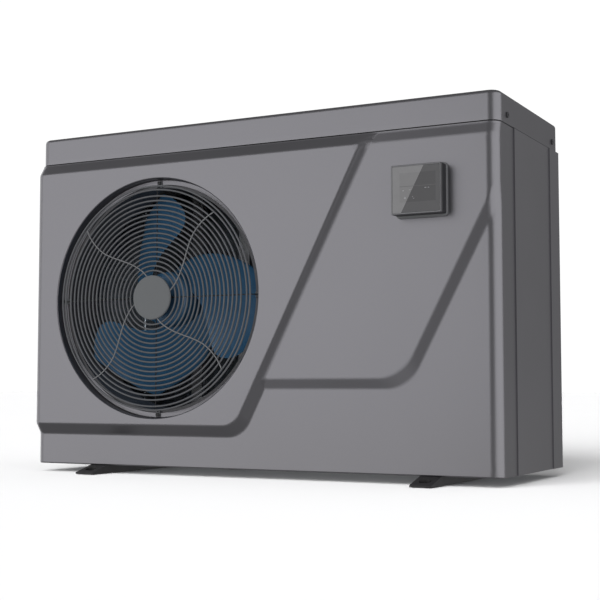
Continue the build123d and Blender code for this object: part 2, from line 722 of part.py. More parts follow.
def compressor_grommets():
    parts = []
    for x, depth in compressor_feet():
        lower = ring_z(x, depth, CASE_BOTTOM + SHEET, 38, 13, 4.3)
        collar = ring_z(x, depth, 38, 41, 6.8, 4.3)
        parts.append(lower + collar + ring_z(x, depth, 41, 46, 11, 4.3))
    return group(parts)


def compressor_bolts():
    parts = []
    for x, depth in compressor_feet():
        head = extrude(plan(46) * Pos(x, depth) * RegularPolygon(6.5, 6, major_radius=False), 5.3)
        parts.append(head + rod_z(x, depth, CASE_BOTTOM, 46, 4.0))
    return group(parts)


def suction_accumulator():
    x, depth = ACCUMULATOR
    body = rod_z(x, depth, 60, 270, ACCUMULATOR_R)
    body = fillet(body.edges().filter_by(GeomType.CIRCLE), 12)
    strap = ring_z(x, depth, 150, 165, ACCUMULATOR_R + 2, ACCUMULATOR_R - 1)
    base = block(x - 14, x + 14, depth - 14, depth + 14, CASE_BOTTOM + SHEET, 62)
    return body + strap + base


def four_way_valve():
    x, depth, z = VALVE
    body = rod_x(x - 48, x + 48, depth, z, 13)
    body = fillet(body.edges().filter_by(GeomType.CIRCLE), 4)
    body += rod_z(x, depth, z + 10, z + 34, 6)
    for shift in (-22, 0, 22):
        body += rod_z(x + shift, depth, z - 34, z - 10, 6)
    return body


def valve_coil():
    x, depth, z = VALVE
    return block(x - 20, x + 20, depth + 13 + GAP, depth + 40, z - 14, z + 14)


def expansion_valve():
    x, depth, z = EXPANSION
    body = rod_z(x, depth, z - 16, z + 16, 10)
    body += rod_z(x, depth, z + 16, z + 50, 16)
    body += rod_z(x, depth, z - 34, z - 15, 5)
    return body + rod_x(x - 28, x - 9, depth, z, 5)


def refrigerant_pipes():
    """Copper tubes between the compressor, the reversing valve, the coil and the exchanger."""
    cx, cd = COMPRESSOR
    ax, ad = ACCUMULATOR
    vx, vd, vz = VALVE
    ex, ed, ez = EXPANSION
    top = COMPRESSOR_TOP + 12
    ed2 = EXCHANGER[1]
    ex2 = EXCHANGER[0] - EXCHANGER_R - 0.2
    routes = [
        [(cx + 20, cd, top), (cx + 20, cd, 450), (vx, vd, 450), (vx, vd, vz + 34)],
        [(ax + 3, ad, 270), (ax + 3, ad, 330), (vx, vd, 345), (vx, vd, vz - 34)],
        [(vx + 22, vd, vz - 34), (vx + 22, vd, 350), (300, 200, 345), (ex2 - 25, ed2, 340), (ex2, ed2, 340)],
        [(vx - 22, vd, vz - 34), (vx - 22, vd, 355), (196, 250, 350), (176, 296, 350)],
        [(ex, ed, ez - 34), (ex, ed, 235), (ex2 - 25, ed2, 220), (ex2, ed2, 220)],
    ]
    return group([pipe(route, 9, 5.5) for route in routes])


# ---- Water side ----
def exchanger_shell():
    x, depth = EXCHANGER
    shell = ring_z(x, depth, EXCHANGER_BOTTOM, EXCHANGER_TOP, EXCHANGER_R, EXCHANGER_R - 4)
    for z in WATER_Z:
        shell -= rod_y(x, z, depth, depth + 80, PIPE_R)
    return shell


def exchanger_caps():
    x, depth = EXCHANGER
    caps = []
    for z, way in ((EXCHANGER_BOTTOM, -1), (EXCHANGER_TOP, 1)):
        low, high = sorted((z, z + way * 14))
        cap = rod_z(x, depth, low, high, EXCHANGER_R + 4)
        cap = fillet(cap.edges().filter_by(GeomType.CIRCLE).sort_by(Axis.Z)[-1 if way > 0 else 0], 5)
        caps.append(cap)
    return group(caps)


def titanium_coil():
    """The exchanger's inner coil, as a stack of turns on a central core."""
    x, depth = EXCHANGER
    core = rod_z(x, depth, EXCHANGER_BOTTOM + 3, EXCHANGER_TOP - 3, 14)
    turns = [core]
    for i in range(20):
        z = EXCHANGER_BOTTOM + 22 + i * 18
        turns.append(Pos(x, FRONT_Y + depth, z) * Torus(38, 6))
    return group(turns)


def exchanger_bracket():
    x, depth = EXCHANGER
    foot = block(x - 40, x + 40, depth - 30, depth + 30, CASE_BOTTOM + SHEET, EXCHANGER_BOTTOM - 14)
    return foot


def pipe_start():
    return EXCHANGER[1] + EXCHANGER_R - 4


def water_pipes():
    x = EXCHANGER[0]
    tubes = []
    for index, z in enumerate(WATER_Z):
        tube = ring_y(x, z, pipe_start(), CASE_DEPTH + 14, PIPE_R, PIPE_BORE)
        tube += ring_y(x, z, CASE_DEPTH + 8, CASE_DEPTH + 14, 31, PIPE_BORE)
        if index == 0:
            tube += ring_z(x, SWITCH_DEPTH, z + PIPE_BORE + 1, z + 46, 12, 9)
            tube -= rod_z(x, SWITCH_DEPTH, z, z + 47, 9)
        tubes.append(tube)
    return group(tubes)


def tailpiece(z):
    """Socket tail outside the rear panel; a pool pipe is glued into its mouth."""
    x = EXCHANGER[0]
    face = CASE_DEPTH + 14 + SEAL_THICK
    end = CASE_DEPTH + UNION_REACH
    tail = rod_y(x, z, face, end, 29.6)
    tail += rod_y(x, z, face, face + 6, 31)
    tail -= rod_y(x, z, end - SOCKET_LENGTH, end + 1, SOCKET_R)
    return tail - rod_y(x, z, face - 1, end, PIPE_BORE)


def inlet_tailpiece():
    return tailpiece(WATER_Z[0])


def outlet_tailpiece():
    return tailpiece(WATER_Z[1])


def union_seals():
    x = EXCHANGER[0]
    face = CASE_DEPTH + 14
    return group([ring_y(x, z, face, face + SEAL_THICK, 29, 23) for z in WATER_Z])


def union_nut(z):
    """A ribbed ring nut that draws the tailpiece onto the pipe's flange."""
    x = EXCHANGER[0]
    front = CASE_DEPTH + 5
    back = CASE_DEPTH + 31
    nut = rod_y(x, z, front, back, UNION_R - 2)
    nut = chamfer(nut.edges().filter_by(GeomType.CIRCLE), 1.5)
    ribs = 12
    for i in range(ribs):
        angle = 360.0 / ribs * i
        rib = Pos(x, FRONT_Y + (front + back) / 2, z) * Rot(0, angle, 0) * Pos(UNION_R - 3, 0, 0)
        nut += rib * Box(4, back - front - 5, 6)
    nut -= rod_y(x, z, front - 1, back - 6, 31.4)
    return nut - rod_y(x, z, front, back + 1, 30.0)


def inlet_union_nut():
    return union_nut(WATER_Z[0])


def outlet_union_nut():
    return union_nut(WATER_Z[1])


def flow_switch_body():
    x = EXCHANGER[0]
    z = WATER_Z[0] + 46
    body = block(x - 18, x + 18, SWITCH_DEPTH - 16, SWITCH_DEPTH + 16, z, z + 26)
    body = fillet(body.edges().filter_by(Axis.Z), 3)
    stem = ring_z(x, SWITCH_DEPTH, z - 8, z, 8.7, 6.5)
    pin = rod_x(x - 8, x + 8, SWITCH_DEPTH, z - 4, 1.2)
    return body + stem + pin


def flow_switch_paddle():
    """A flag that hangs from the switch's pin into the water stream."""
    x = EXCHANGER[0]
    pivot = WATER_Z[0] + 42
    eye = rod_x(x - 3, x + 3, SWITCH_DEPTH, pivot, 3.0)
    arm = block(x - 2, x + 2, SWITCH_DEPTH - 0.8, SWITCH_DEPTH + 0.8, WATER_Z[0] - 2, pivot - 1)
    flag = block(x - 8, x + 8, SWITCH_DEPTH - 0.8, SWITCH_DEPTH + 0.8, WATER_Z[0] - 14, WATER_Z[0] + 10)
    return eye + arm + flag - rod_x(x - 4, x + 4, SWITCH_DEPTH, pivot, 1.25)


def gland_heights():
    return (500.0, 540.0)


def cable_glands():
    parts = []
    for z in gland_heights():
        body = rod_y(GLAND_X, z, CASE_DEPTH - 10, CASE_DEPTH, GLAND_R)
        body += hexagon(GLAND_X, z, CASE_DEPTH, CASE_DEPTH + 6, 26)
        body += rod_y(GLAND_X, z, CASE_DEPTH + 6, CASE_DEPTH + 22, 11)
        parts.append(body - rod_y(GLAND_X, z, CASE_DEPTH - 11, CASE_DEPTH + 23, 6))
    return group(parts)


# ---- Electrics ----
def control_box():
    """A tray above the compressor, open at the front."""
    box = block(PARTITION_X + 6, 462, 34, 300, BOX_BOTTOM, 585)
    room = block(PARTITION_X + 8, 460, 33, 298, BOX_BOTTOM + 2, 583)
    tray = box - room
    return tray - block(250, 330, 297, 301, 485, 560)


def control_box_lid():
    return block(PARTITION_X + 6, 462, 32, 34, BOX_BOTTOM, 585)


def control_board():
    """The driver board with its larger components."""
    z = BOX_BOTTOM + 12
    board = block(180, 440, 60, 280, z, z + 1.6)
    for i in range(3):
        board += rod_z(210 + 36 * i, 90, z + 1.6, z + 46, 14)
    board += block(330, 385, 70, 115, z + 1.6, z + 34)
    board += block(220, 300, 150, 230, z + 1.6, z + 18)
    for x, depth in ((188, 68), (432, 68), (188, 272), (432, 272)):
        board += rod_z(x, depth, BOX_BOTTOM + 2, z, 4)
    return board


def heat_sink():
    """Finned cooler that hangs under the control box into the fan's air."""
    base = block(PARTITION_X + 8, PARTITION_X + 83, 50, 120, BOX_BOTTOM - 5, BOX_BOTTOM)
    for i in range(8):
        x = PARTITION_X + 9 + 10.2 * i
        base += block(x, x + 2, 50, 120, BOX_BOTTOM - 22, BOX_BOTTOM - 4)
    return base


def terminal_block():
    body = block(350, 440, 150, 175, 496, 516)
    for i in range(6):
        x = 358 + 14.8 * i
        body -= block(x - 5, x + 5, 149, 168, 507, 517)
    return body


# ---- Display ----
def rounded_plate(width, tall, d0, d1, radius):
    outline = Pos(DISPLAY_X, DISPLAY_Z) * RectangleRounded(width, tall, radius)
    return extrude(facing(d1) * outline, d1 - d0)


def display_base():
    """Back plate on the middle pad."""
    width, tall, thick = DISPLAY_BASE
    plate = rounded_plate(width, tall, -MIDDLE_PROUD - thick, -MIDDLE_PROUD, 7)
    return plate - rod_y(DISPLAY_X, DISPLAY_Z, -30, 10, 12)


def display_housing():
    back = -MIDDLE_PROUD - DISPLAY_BASE[2]
    shell = rounded_plate(DISPLAY_WIDTH, DISPLAY_TALL, DISPLAY_FRONT, back, 4)
    room = rounded_plate(
        DISPLAY_WIDTH - 2 * DISPLAY_WALL, DISPLAY_TALL - 2 * DISPLAY_WALL, DISPLAY_FRONT - 1, back - 2, 3
    )
    return shell - room - rod_y(DISPLAY_X, DISPLAY_Z, -30, 10, 12)


def display_board():
    front = DISPLAY_FRONT + GLASS + 2
    board = rounded_plate(DISPLAY_WIDTH - 8, DISPLAY_TALL - 8, front + 4, front + 5.6, 2)
    screen = block(DISPLAY_X - 30, DISPLAY_X + 36, front, front + 4, DISPLAY_Z - 22, DISPLAY_Z + 28)
    for x in (-36, 36):
        for z in (-33, 33):
            board += rod_y(DISPLAY_X + x, DISPLAY_Z + z, front + 5.6, -MIDDLE_PROUD - DISPLAY_BASE[2] - 2, 2)
    return board + screen


def display_glass():
    inner = DISPLAY_WIDTH - 2 * DISPLAY_WALL - GAP
    tall = DISPLAY_TALL - 2 * DISPLAY_WALL - GAP
    return rounded_plate(inner, tall, DISPLAY_FRONT + 0.4, DISPLAY_FRONT + 0.4 + GLASS, 3)


PIECES = [
    base_pan, left_foot_rail, right_foot_rail, foot_pads, foot_bolts, drain_spout,
    front_panel, left_side_panel, right_side_panel, rear_panel, rear_coil_guard, left_coil_guard,
    top_cover, lid_seal, top_cover_screws, rear_panel_screws,
    fan_shroud, fan_grille, grille_disc, grille_screws, fan, fan_nut, motor_shaft, fan_motor,
    motor_bracket, evaporator_fins, evaporator_tubes, evaporator_end_plates,
    partition_panel, compressor, compressor_grommets, compressor_bolts, suction_accumulator,
    four_way_valve, valve_coil, expansion_valve, refrigerant_pipes,
    exchanger_shell, exchanger_caps, titanium_coil, exchanger_bracket, water_pipes,
    inlet_tailpiece, outlet_tailpiece, union_seals, inlet_union_nut, outlet_union_nut,
    flow_switch_body, flow_switch_paddle, cable_glands,
    control_box, control_box_lid, control_board, heat_sink, terminal_block,
    display_base, display_housing, display_board, display_glass,
]

os.makedirs("parts", exist_ok=True)
for piece in PIECES:
    export_step(piece(), f"parts/{piece.__name__}.step")
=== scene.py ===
"""Looks of the pool heat pump unit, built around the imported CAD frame.

Metres throughout.  Depths are measured backwards from the front face of the top cover, as in the
CAD model, and Y = FRONT_Y + depth.
"""
import json
from math import atan2, ceil, cos, hypot, pi, radians, sin, sqrt, tan

import bmesh
import bpy
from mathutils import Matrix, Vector
from mathutils.geometry import delaunay_2d_cdt


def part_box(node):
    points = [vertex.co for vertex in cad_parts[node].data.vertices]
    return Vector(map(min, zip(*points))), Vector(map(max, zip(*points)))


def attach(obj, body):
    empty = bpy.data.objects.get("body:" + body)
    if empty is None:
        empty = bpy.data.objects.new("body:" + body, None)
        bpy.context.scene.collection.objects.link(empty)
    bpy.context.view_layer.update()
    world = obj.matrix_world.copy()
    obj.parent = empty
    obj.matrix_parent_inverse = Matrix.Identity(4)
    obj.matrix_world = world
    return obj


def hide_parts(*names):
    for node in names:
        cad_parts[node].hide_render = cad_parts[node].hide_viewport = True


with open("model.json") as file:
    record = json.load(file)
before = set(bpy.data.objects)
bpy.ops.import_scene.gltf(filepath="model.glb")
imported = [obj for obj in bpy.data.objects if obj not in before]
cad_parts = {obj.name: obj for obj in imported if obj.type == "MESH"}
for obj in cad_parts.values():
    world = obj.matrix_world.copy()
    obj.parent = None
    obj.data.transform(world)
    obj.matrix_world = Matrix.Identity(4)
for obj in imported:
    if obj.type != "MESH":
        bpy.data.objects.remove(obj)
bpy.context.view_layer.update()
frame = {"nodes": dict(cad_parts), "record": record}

NODES = frame["nodes"]
MM = 0.001

# ---- Positions read from the frame ----
COVER_LOW, COVER_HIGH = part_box("top_cover")
PANEL_LOW, PANEL_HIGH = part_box("front_panel")
DISC_LOW, DISC_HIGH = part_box("grille_disc")
GLASS_LOW, GLASS_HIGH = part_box("display_glass")
FRONT_Y = COVER_LOW.y
FAN_X = (DISC_LOW.x + DISC_HIGH.x) / 2
FAN_Z = (DISC_LOW.z + DISC_HIGH.z) / 2
BODY_TOP = PANEL_HIGH.z
CASE_BOTTOM = PANEL_LOW.z
SIDE_X = PANEL_HIGH.x

# ---- Relief of the front panel ----
CORNER_ROUND = 20.0 * MM
WRAP_DEPTH = 88.0 * MM
BASE_PROUD = 3.4 * MM
MIDDLE_PROUD = 8.8 * MM
FAN_PAD_PROUD = 16.1 * MM
OPENING_R = 221.5 * MM
RIM_ROUND = 3.0 * MM
LEDGE_R = 211.0 * MM
LEDGE_DEPTH = 4.0 * MM
SHEET = 1.8 * MM


def at_depth(depth):
    return FRONT_Y + depth


# ---- Mesh helpers ----
def add_mesh(name, verts, faces, material, smooth=True, sharp_angle=None):
    mesh = bpy.data.meshes.new(name)
    mesh.from_pydata([tuple(v) for v in verts], [], faces)
    mesh.validate()
    bm = bmesh.new()
    bm.from_mesh(mesh)
    bmesh.ops.recalc_face_normals(bm, faces=bm.faces)
    bm.to_mesh(mesh)
    bm.free()
    for poly in mesh.polygons:
        poly.use_smooth = smooth
    if smooth and sharp_angle is not None:
        mesh.set_sharp_from_angle(angle=radians(sharp_angle))
    mesh.materials.append(material)
    obj = bpy.data.objects.new(name, mesh)
    bpy.context.scene.collection.objects.link(obj)
    return obj


def place(obj, body, slot, *nodes):
    """The piece rides on a body and stands for some CAD nodes, which it hides; the slot is not used."""
    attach(obj, body)
    if nodes:
        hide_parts(*nodes)
    return obj


def bevel(obj, width, segments=2, angle=30):
    mod = obj.modifiers.new("Edges", "BEVEL")
    mod.width = width
    mod.segments = segments
    mod.limit_method = "ANGLE"
    mod.angle_limit = radians(angle)
    mod.harden_normals = True
    return mod


def join_rows(rows, closed_row, verts, faces):
    """Appends a grid of points and its quads; rows are lists of points of one length."""
    base = len(verts)
    count = len(rows[0])
    for row in rows:
        verts.extend(row)
    last = count if closed_row else count - 1
    for i in range(len(rows) - 1):
        for j in range(last):
            a = base + i * count + j
            b = base + i * count + (j + 1) % count
            faces.append((a, b, b + count, a + count))


def revolve(centre_x, centre_z, profile, segments, verts, faces, closed_profile=False):
    """Turns a profile of (radius, depth) about a line along Y."""
    rows = []
    for radius, depth in profile:
        row = []
        for k in range(segments):
            a = 2 * pi * k / segments
            row.append((centre_x + radius * cos(a), at_depth(depth), centre_z + radius * sin(a)))
        rows.append(row)
    if closed_profile:
        rows.append(rows[0])
    base = len(verts)
    join_rows(rows, True, verts, faces)
    return base


def tube(points, radius, sides, verts, faces, closed=False):
    """Sweeps a round section along a polyline, with flat ends unless it is closed."""
    points = [Vector(p) for p in points]
    count = len(points)
    normal = None
    rows = []
    for i, p in enumerate(points):
        if closed:
            ahead, behind = points[(i + 1) % count], points[i - 1]
        else:
            ahead, behind = points[min(i + 1, count - 1)], points[max(i - 1, 0)]
        along = (ahead - behind).normalized()
        if normal is None:
            guess = Vector((0, 1, 0)) if abs(along.y) < 0.9 else Vector((1, 0, 0))
            normal = (guess - along * guess.dot(along)).normalized()
        else:
            normal = (normal - along * normal.dot(along)).normalized()
        other = along.cross(normal)
        rows.append([
            p + normal * (radius * cos(2 * pi * k / sides)) + other * (radius * sin(2 * pi * k / sides))
            for k in range(sides)
        ])
    base = len(verts)
    if closed:
        join_rows(rows, True, verts, faces)
        first, last = base, base + (count - 1) * sides
        for k in range(sides):
            j = (k + 1) % sides
            faces.append((last + k, last + j, first + j, first + k))
    else:
        join_rows(rows, True, verts, faces)
        faces.append(tuple(base + k for k in reversed(range(sides))))
        faces.append(tuple(base + (count - 1) * sides + k for k in range(sides)))


def solid_box(low, high, verts, faces):
    base = len(verts)
    for x in (low[0], high[0]):
        for y in (low[1], high[1]):
            for z in (low[2], high[2]):
                verts.append((x, y, z))
    for quad in ((0, 1, 3, 2), (4, 6, 7, 5), (0, 4, 5, 1), (2, 3, 7, 6), (0, 2, 6, 4), (1, 5, 7, 3)):
        faces.append(tuple(base + q for q in quad))


# ---- Materials ----
def ramp(nodes, low, high):
    node = nodes.new("ShaderNodeMapRange")
    node.inputs["To Min"].default_value = low
    node.inputs["To Max"].default_value = high
    return node


def put(node, **values):
    """Sets a node's sockets; an underscore in a name stands for a space."""
    for name, value in values.items():
        node.inputs[name.replace("_", " ")].default_value = value


def surface(
    name, colour, roughness=0.5, metallic=0.0, spread=0.08, patch=9.0, grain=600.0, bump=0.12,
    stretch=(1.0, 1.0, 1.0), edge=0.0, dust=0.0, coat=0.0, specular=0.5, depth=0.0003,
):
    """A painted, moulded or metal finish: patchy tone, fine grain, worn edges and dust low down."""
    material = bpy.data.materials.new(name)
    material.use_nodes = True
    nodes, links = material.node_tree.nodes, material.node_tree.links
    shader = nodes["Principled BSDF"]
    put(shader, Metallic=metallic, Specular_IOR_Level=specular)
    if coat:
        put(shader, Coat_Weight=coat, Coat_Roughness=0.12)
    coords = nodes.new("ShaderNodeTexCoord")
    mapping = nodes.new("ShaderNodeMapping")
    put(mapping, Scale=stretch)
    links.new(coords.outputs["Object"], mapping.inputs["Vector"])
    broad = nodes.new("ShaderNodeTexNoise")
    put(broad, Scale=patch, Detail=4.0)
    links.new(mapping.outputs["Vector"], broad.inputs["Vector"])
    fine = nodes.new("ShaderNodeTexNoise")
    put(fine, Scale=grain, Detail=2.0)
    links.new(mapping.outputs["Vector"], fine.inputs["Vector"])
    tone = nodes.new("ShaderNodeMix")
    tone.data_type = "RGBA"
    put(tone, A=[c * (1 - spread) for c in colour] + [1])
    put(tone, B=[min(1, c * (1 + spread)) for c in colour] + [1])
    spread_node = nodes.new("ShaderNodeMapRange")
    put(spread_node, From_Min=0.3, From_Max=0.7)
    links.new(broad.outputs["Fac"], spread_node.inputs["Value"])
    links.new(spread_node.outputs["Result"], tone.inputs["Factor"])
    last = tone.outputs["Result"]
    speck = nodes.new("ShaderNodeMix")
    speck.data_type = "RGBA"
    speck.blend_type = "MULTIPLY"
    put(speck, Factor=1.0)
    speck_tone = ramp(nodes, 1 - spread * 0.8, 1 + spread * 0.8)
    links.new(fine.outputs["Fac"], speck_tone.inputs["Value"])
    links.new(last, speck.inputs["A"])
    links.new(speck_tone.outputs["Result"], speck.inputs["B"])
    last = speck.outputs["Result"]
    if edge:
        geometry = nodes.new("ShaderNodeNewGeometry")
        worn = nodes.new("ShaderNodeMapRange")
        put(worn, From_Min=0.52, From_Max=0.62, To_Max=edge)
        links.new(geometry.outputs["Pointiness"], worn.inputs["Value"])
        lift = nodes.new("ShaderNodeMix")
        lift.data_type = "RGBA"
        put(lift, B=[min(1, c * 1.7 + 0.02) for c in colour] + [1])
        links.new(worn.outputs["Result"], lift.inputs["Factor"])
        links.new(last, lift.inputs["A"])
        last = lift.outputs["Result"]
    if dust:
        split = nodes.new("ShaderNodeSeparateXYZ")
        links.new(coords.outputs["Object"], split.inputs["Vector"])
        low = nodes.new("ShaderNodeMapRange")
        put(low, From_Min=0.0, From_Max=0.16, To_Min=dust, To_Max=0.0)
        links.new(split.outputs["Z"], low.inputs["Value"])
        mask = nodes.new("ShaderNodeMath")
        mask.operation = "MULTIPLY"
        links.new(low.outputs["Result"], mask.inputs[0])
        links.new(broad.outputs["Fac"], mask.inputs[1])
        film = nodes.new("ShaderNodeMix")
        film.data_type = "RGBA"
        put(film, B=(0.30, 0.28, 0.25, 1))
        links.new(mask.outputs["Value"], film.inputs["Factor"])
        links.new(last, film.inputs["A"])
        last = film.outputs["Result"]
    links.new(last, shader.inputs["Base Color"])
    rough = ramp(nodes, max(0.02, roughness - 0.06), min(1.0, roughness + 0.06))
    links.new(broad.outputs["Fac"], rough.inputs["Value"])
    links.new(rough.outputs["Result"], shader.inputs["Roughness"])
    relief = nodes.new("ShaderNodeBump")
    put(relief, Strength=bump, Distance=depth)
    links.new(fine.outputs["Fac"], relief.inputs["Height"])
    links.new(relief.outputs["Normal"], shader.inputs["Normal"])
    return material


POWDER = surface(
    "casing_powder_coat", (0.262, 0.258, 0.278), roughness=0.36, metallic=0.9, spread=0.02, patch=3.0,
    grain=700.0, bump=0.10, edge=0.12, dust=0.12,
)
GALVANISED = surface(
    "galvanised_sheet", (0.42, 0.43, 0.45), roughness=0.42, metallic=0.9, spread=0.14, patch=60.0,
    grain=160.0, bump=0.08, dust=0.2,
)
BLACK_STEEL = surface(
    "black_painted_steel", (0.016, 0.016, 0.019), roughness=0.5, spread=0.15, patch=20.0, grain=800.0,
    bump=0.16, edge=0.25, dust=0.12,
)
RUBBER = surface(
    "black_rubber", (0.022, 0.022, 0.022), roughness=0.85, spread=0.2, grain=1200.0, bump=0.3,
)
ZINC = surface(
    "zinc_plated_steel", (0.55, 0.55, 0.56), roughness=0.34, metallic=1.0, spread=0.12, patch=120.0,
    grain=900.0, bump=0.06, edge=0.3,
)
GROUND = surface(
    "ground_steel", (0.56, 0.56, 0.58), roughness=0.25, metallic=1.0, spread=0.06, patch=80.0,
    grain=2000.0, bump=0.05, stretch=(1, 8, 1),
)
WIRE_PAINT = surface(
    "grille_wire_paint", (0.160, 0.165, 0.178), roughness=0.42, spread=0.06, patch=30.0, grain=900.0,
    bump=0.12, edge=0.1,
)
STAY_PAINT = surface(
    "grille_stay_paint", (0.30, 0.305, 0.32), roughness=0.42, spread=0.06, patch=30.0, grain=900.0,
    bump=0.12,
)
GUARD_PAINT = surface(
    "guard_wire_paint", (0.045, 0.046, 0.05), roughness=0.45, spread=0.08, patch=30.0, grain=900.0,
    bump=0.12,
)
SHROUD_PAINT = surface(
    "shroud_paint", (0.060, 0.060, 0.066), roughness=0.5, spread=0.08, patch=30.0, grain=800.0,
    bump=0.14, edge=0.1,
)
DISC_PAINT = surface(
    "disc_paint", (0.205, 0.216, 0.227), roughness=0.5, spread=0.03, patch=12.0, grain=900.0, bump=0.10,
    edge=0.2,
)
BLUE = surface(
    "blue_moulded_plastic", (0.030, 0.105, 0.205), roughness=0.42, spread=0.08, patch=14.0, grain=500.0,
    bump=0.08, edge=0.1,
)
MOTOR = surface(
    "black_enamel_casting", (0.03, 0.03, 0.033), roughness=0.5, spread=0.2, patch=60.0, grain=350.0,
    bump=0.35, depth=0.0006,
)
FIN = surface(
    "coated_fin_stock", (0.50, 0.56, 0.62), roughness=0.4, metallic=0.75, spread=0.12, patch=18.0,
    grain=700.0, bump=0.1, dust=0.2,
)
COPPER = surface(
    "copper_tube", (0.62, 0.26, 0.14), roughness=0.32, metallic=1.0, spread=0.2, patch=40.0,
    grain=500.0, bump=0.05,
)
BRASS = surface(
    "plain_brass", (0.62, 0.46, 0.2), roughness=0.34, metallic=1.0, spread=0.12, patch=60.0,
    grain=600.0, bump=0.06,
)
MOULDED = surface(
    "black_moulded_plastic", (0.028, 0.028, 0.031), roughness=0.5, spread=0.12, patch=40.0,
    grain=1000.0, bump=0.2, edge=0.1,
)
PVC_GREY = surface(
    "grey_pvc", (0.20, 0.205, 0.215), roughness=0.36, spread=0.06, patch=25.0, grain=400.0, bump=0.08,
    edge=0.12,
)
PVC_BLACK = surface(
    "black_pvc", (0.022, 0.022, 0.024), roughness=0.34, spread=0.1, patch=25.0, grain=500.0, bump=0.1,
    edge=0.15,
)
TITANIUM = surface(
    "titanium_tube", (0.42, 0.40, 0.37), roughness=0.34, metallic=1.0, spread=0.14, patch=30.0,
    grain=600.0, bump=0.05,
)
LAMINATE = surface(
    "green_laminate", (0.012, 0.12, 0.05), roughness=0.35, spread=0.2, patch=160.0, grain=900.0,
    bump=0.1, coat=0.4,
)
DISPLAY_CASE = surface(
    "display_case_plastic", (0.034, 0.034, 0.039), roughness=0.4, spread=0.08, patch=60.0, grain=1400.0,
    bump=0.15, edge=0.2,
)
DISPLAY_PLATE = surface(
    "display_plate_plastic", (0.21, 0.215, 0.225), roughness=0.4, spread=0.05, patch=60.0, grain=1400.0,
    bump=0.12, edge=0.2,
)
RIM_METAL = surface(
    "display_rim_metal", (0.20, 0.20, 0.21), roughness=0.32, metallic=0.6, spread=0.06, patch=50.0,
    grain=1200.0, bump=0.05, edge=0.3,
)
SCREEN = surface(
    "display_screen", (0.055, 0.055, 0.06), roughness=0.25, spread=0.05, patch=200.0, grain=1600.0,
    bump=0.03,
)
ICON = surface(
    "display_icon_ink", (0.62, 0.63, 0.66), roughness=0.4, spread=0.05, patch=300.0, grain=1600.0,
    bump=0.03,
)

PAINTS = {
    "casing_paint": POWDER, "galvanised_steel": GALVANISED, "black_steel": BLACK_STEEL, "rubber": RUBBER,
    "zinc_steel": ZINC, "shaft_steel": GROUND, "grille_wire": WIRE_PAINT, "disc_paint": DISC_PAINT,
    "blue_plastic": BLUE, "motor_paint": MOTOR, "fin_aluminium": FIN, "copper": COPPER, "valve_brass": BRASS,
    "coil_plastic": MOULDED, "grey_pvc": PVC_GREY, "black_pvc": PVC_BLACK, "titanium": TITANIUM,
    "board_laminate": LAMINATE, "display_plastic": DISPLAY_CASE, "display_module": SCREEN,
    "display_glass": SCREEN,
}
for entry in frame["record"]["subparts"]:
    node = NODES[entry["node"]]
    node.data.materials.clear()
    node.data.materials.append(PAINTS[entry["material_slot"]])
for name in ("rear_coil_guard", "left_coil_guard"):
    NODES[name].data.materials[0] = GUARD_PAINT
for name in ("fan_shroud", "grille_screws", "top_cover_screws"):
    NODES[name].data.materials[0] = SHROUD_PAINT


# ---- Front panel: two sloped pads on a base level ----
class Pad:
    """A raised pad whose outline runs out past the left edge and, above, past the right one."""

    def __init__(self, bottom, top, corner_x, lean, radius, radius_drop, slope, blend, proud):
        self.bottom, self.top, self.corner_x, self.lean = bottom, top, corner_x, radians(lean)
        self.radius, self.radius_drop = radius, radius_drop
        self.slope, self.blend, self.proud = slope, blend, proud
        self.normal = (cos(self.lean), -sin(self.lean))

    def corners(self, reach):
        """Centres and radii of the rounded corners of the outline grown by reach."""
        radius = self.radius - self.radius_drop * max(0.0, min(1.0, reach / self.slope))
        nx, nz = self.normal
        low_z = self.bottom - reach + radius
        low_x = self.corner_x + (reach - radius - nz * (low_z - self.bottom)) / nx
        top_radius = 8 * MM
        high_z = self.top + reach - top_radius
        high_x = self.corner_x + (reach - top_radius - nz * (high_z - self.bottom)) / nx
        return (low_x, low_z, radius), (high_x, high_z, top_radius)

    def distance(self, x, z, reach):
        nx, nz = self.normal
        low, high = self.corners(reach)
        side = nx * (x - self.corner_x) + nz * (z - self.bottom) - reach
        below = self.bottom - reach - z
        above = z - self.top - reach
        angle = atan2(z - low[1], x - low[0])
        if -pi / 2 <= angle <= -self.lean:
            return hypot(x - low[0], z - low[1]) - low[2]
        angle = atan2(z - high[1], x - high[0])
        if -self.lean <= angle <= pi / 2:
            return hypot(x - high[0], z - high[1]) - high[2]
        return max(side, below, above)

    def reach(self, x, z):
        """How far outside the pad's edge a point lies, along the slope."""
        value = 0.0
        for _ in range(6):
            value += self.distance(x, z, value)
        return value

    def height(self, x, z):
        value, b, w = self.reach(x, z), self.blend, self.slope
        if value <= -b:
            share = 1.0
        elif value < b:
            share = 1 - (value + b) ** 2 / (4 * b * w)
        elif value <= w - b:
            share = 1 - value / w
        elif value < w + b:
            share = (w + b - value) ** 2 / (4 * b * w)
        else:
            share = 0.0
        return BASE_PROUD + (self.proud - BASE_PROUD) * share

    def contour(self, reach, left, right):
        """Points of the outline grown by reach, from the left end of the bottom edge round to the top."""
        low, high = self.corners(reach)
        z_low, z_high = self.bottom - reach, self.top + reach
        points = [(left, z_low), (low[0], z_low)]
        steps = 22
        for k in range(1, steps + 1):
            a = -pi / 2 + (pi / 2 - self.lean) * k / steps
            points.append((low[0] + low[2] * cos(a), low[1] + low[2] * sin(a)))
        for k in range(0, 9):
            a = -self.lean + (pi / 2 + self.lean) * k / 8
            points.append((high[0] + high[2] * cos(a), high[1] + high[2] * sin(a)))
        points.append((left, z_high))
        return clip_right(points, right)


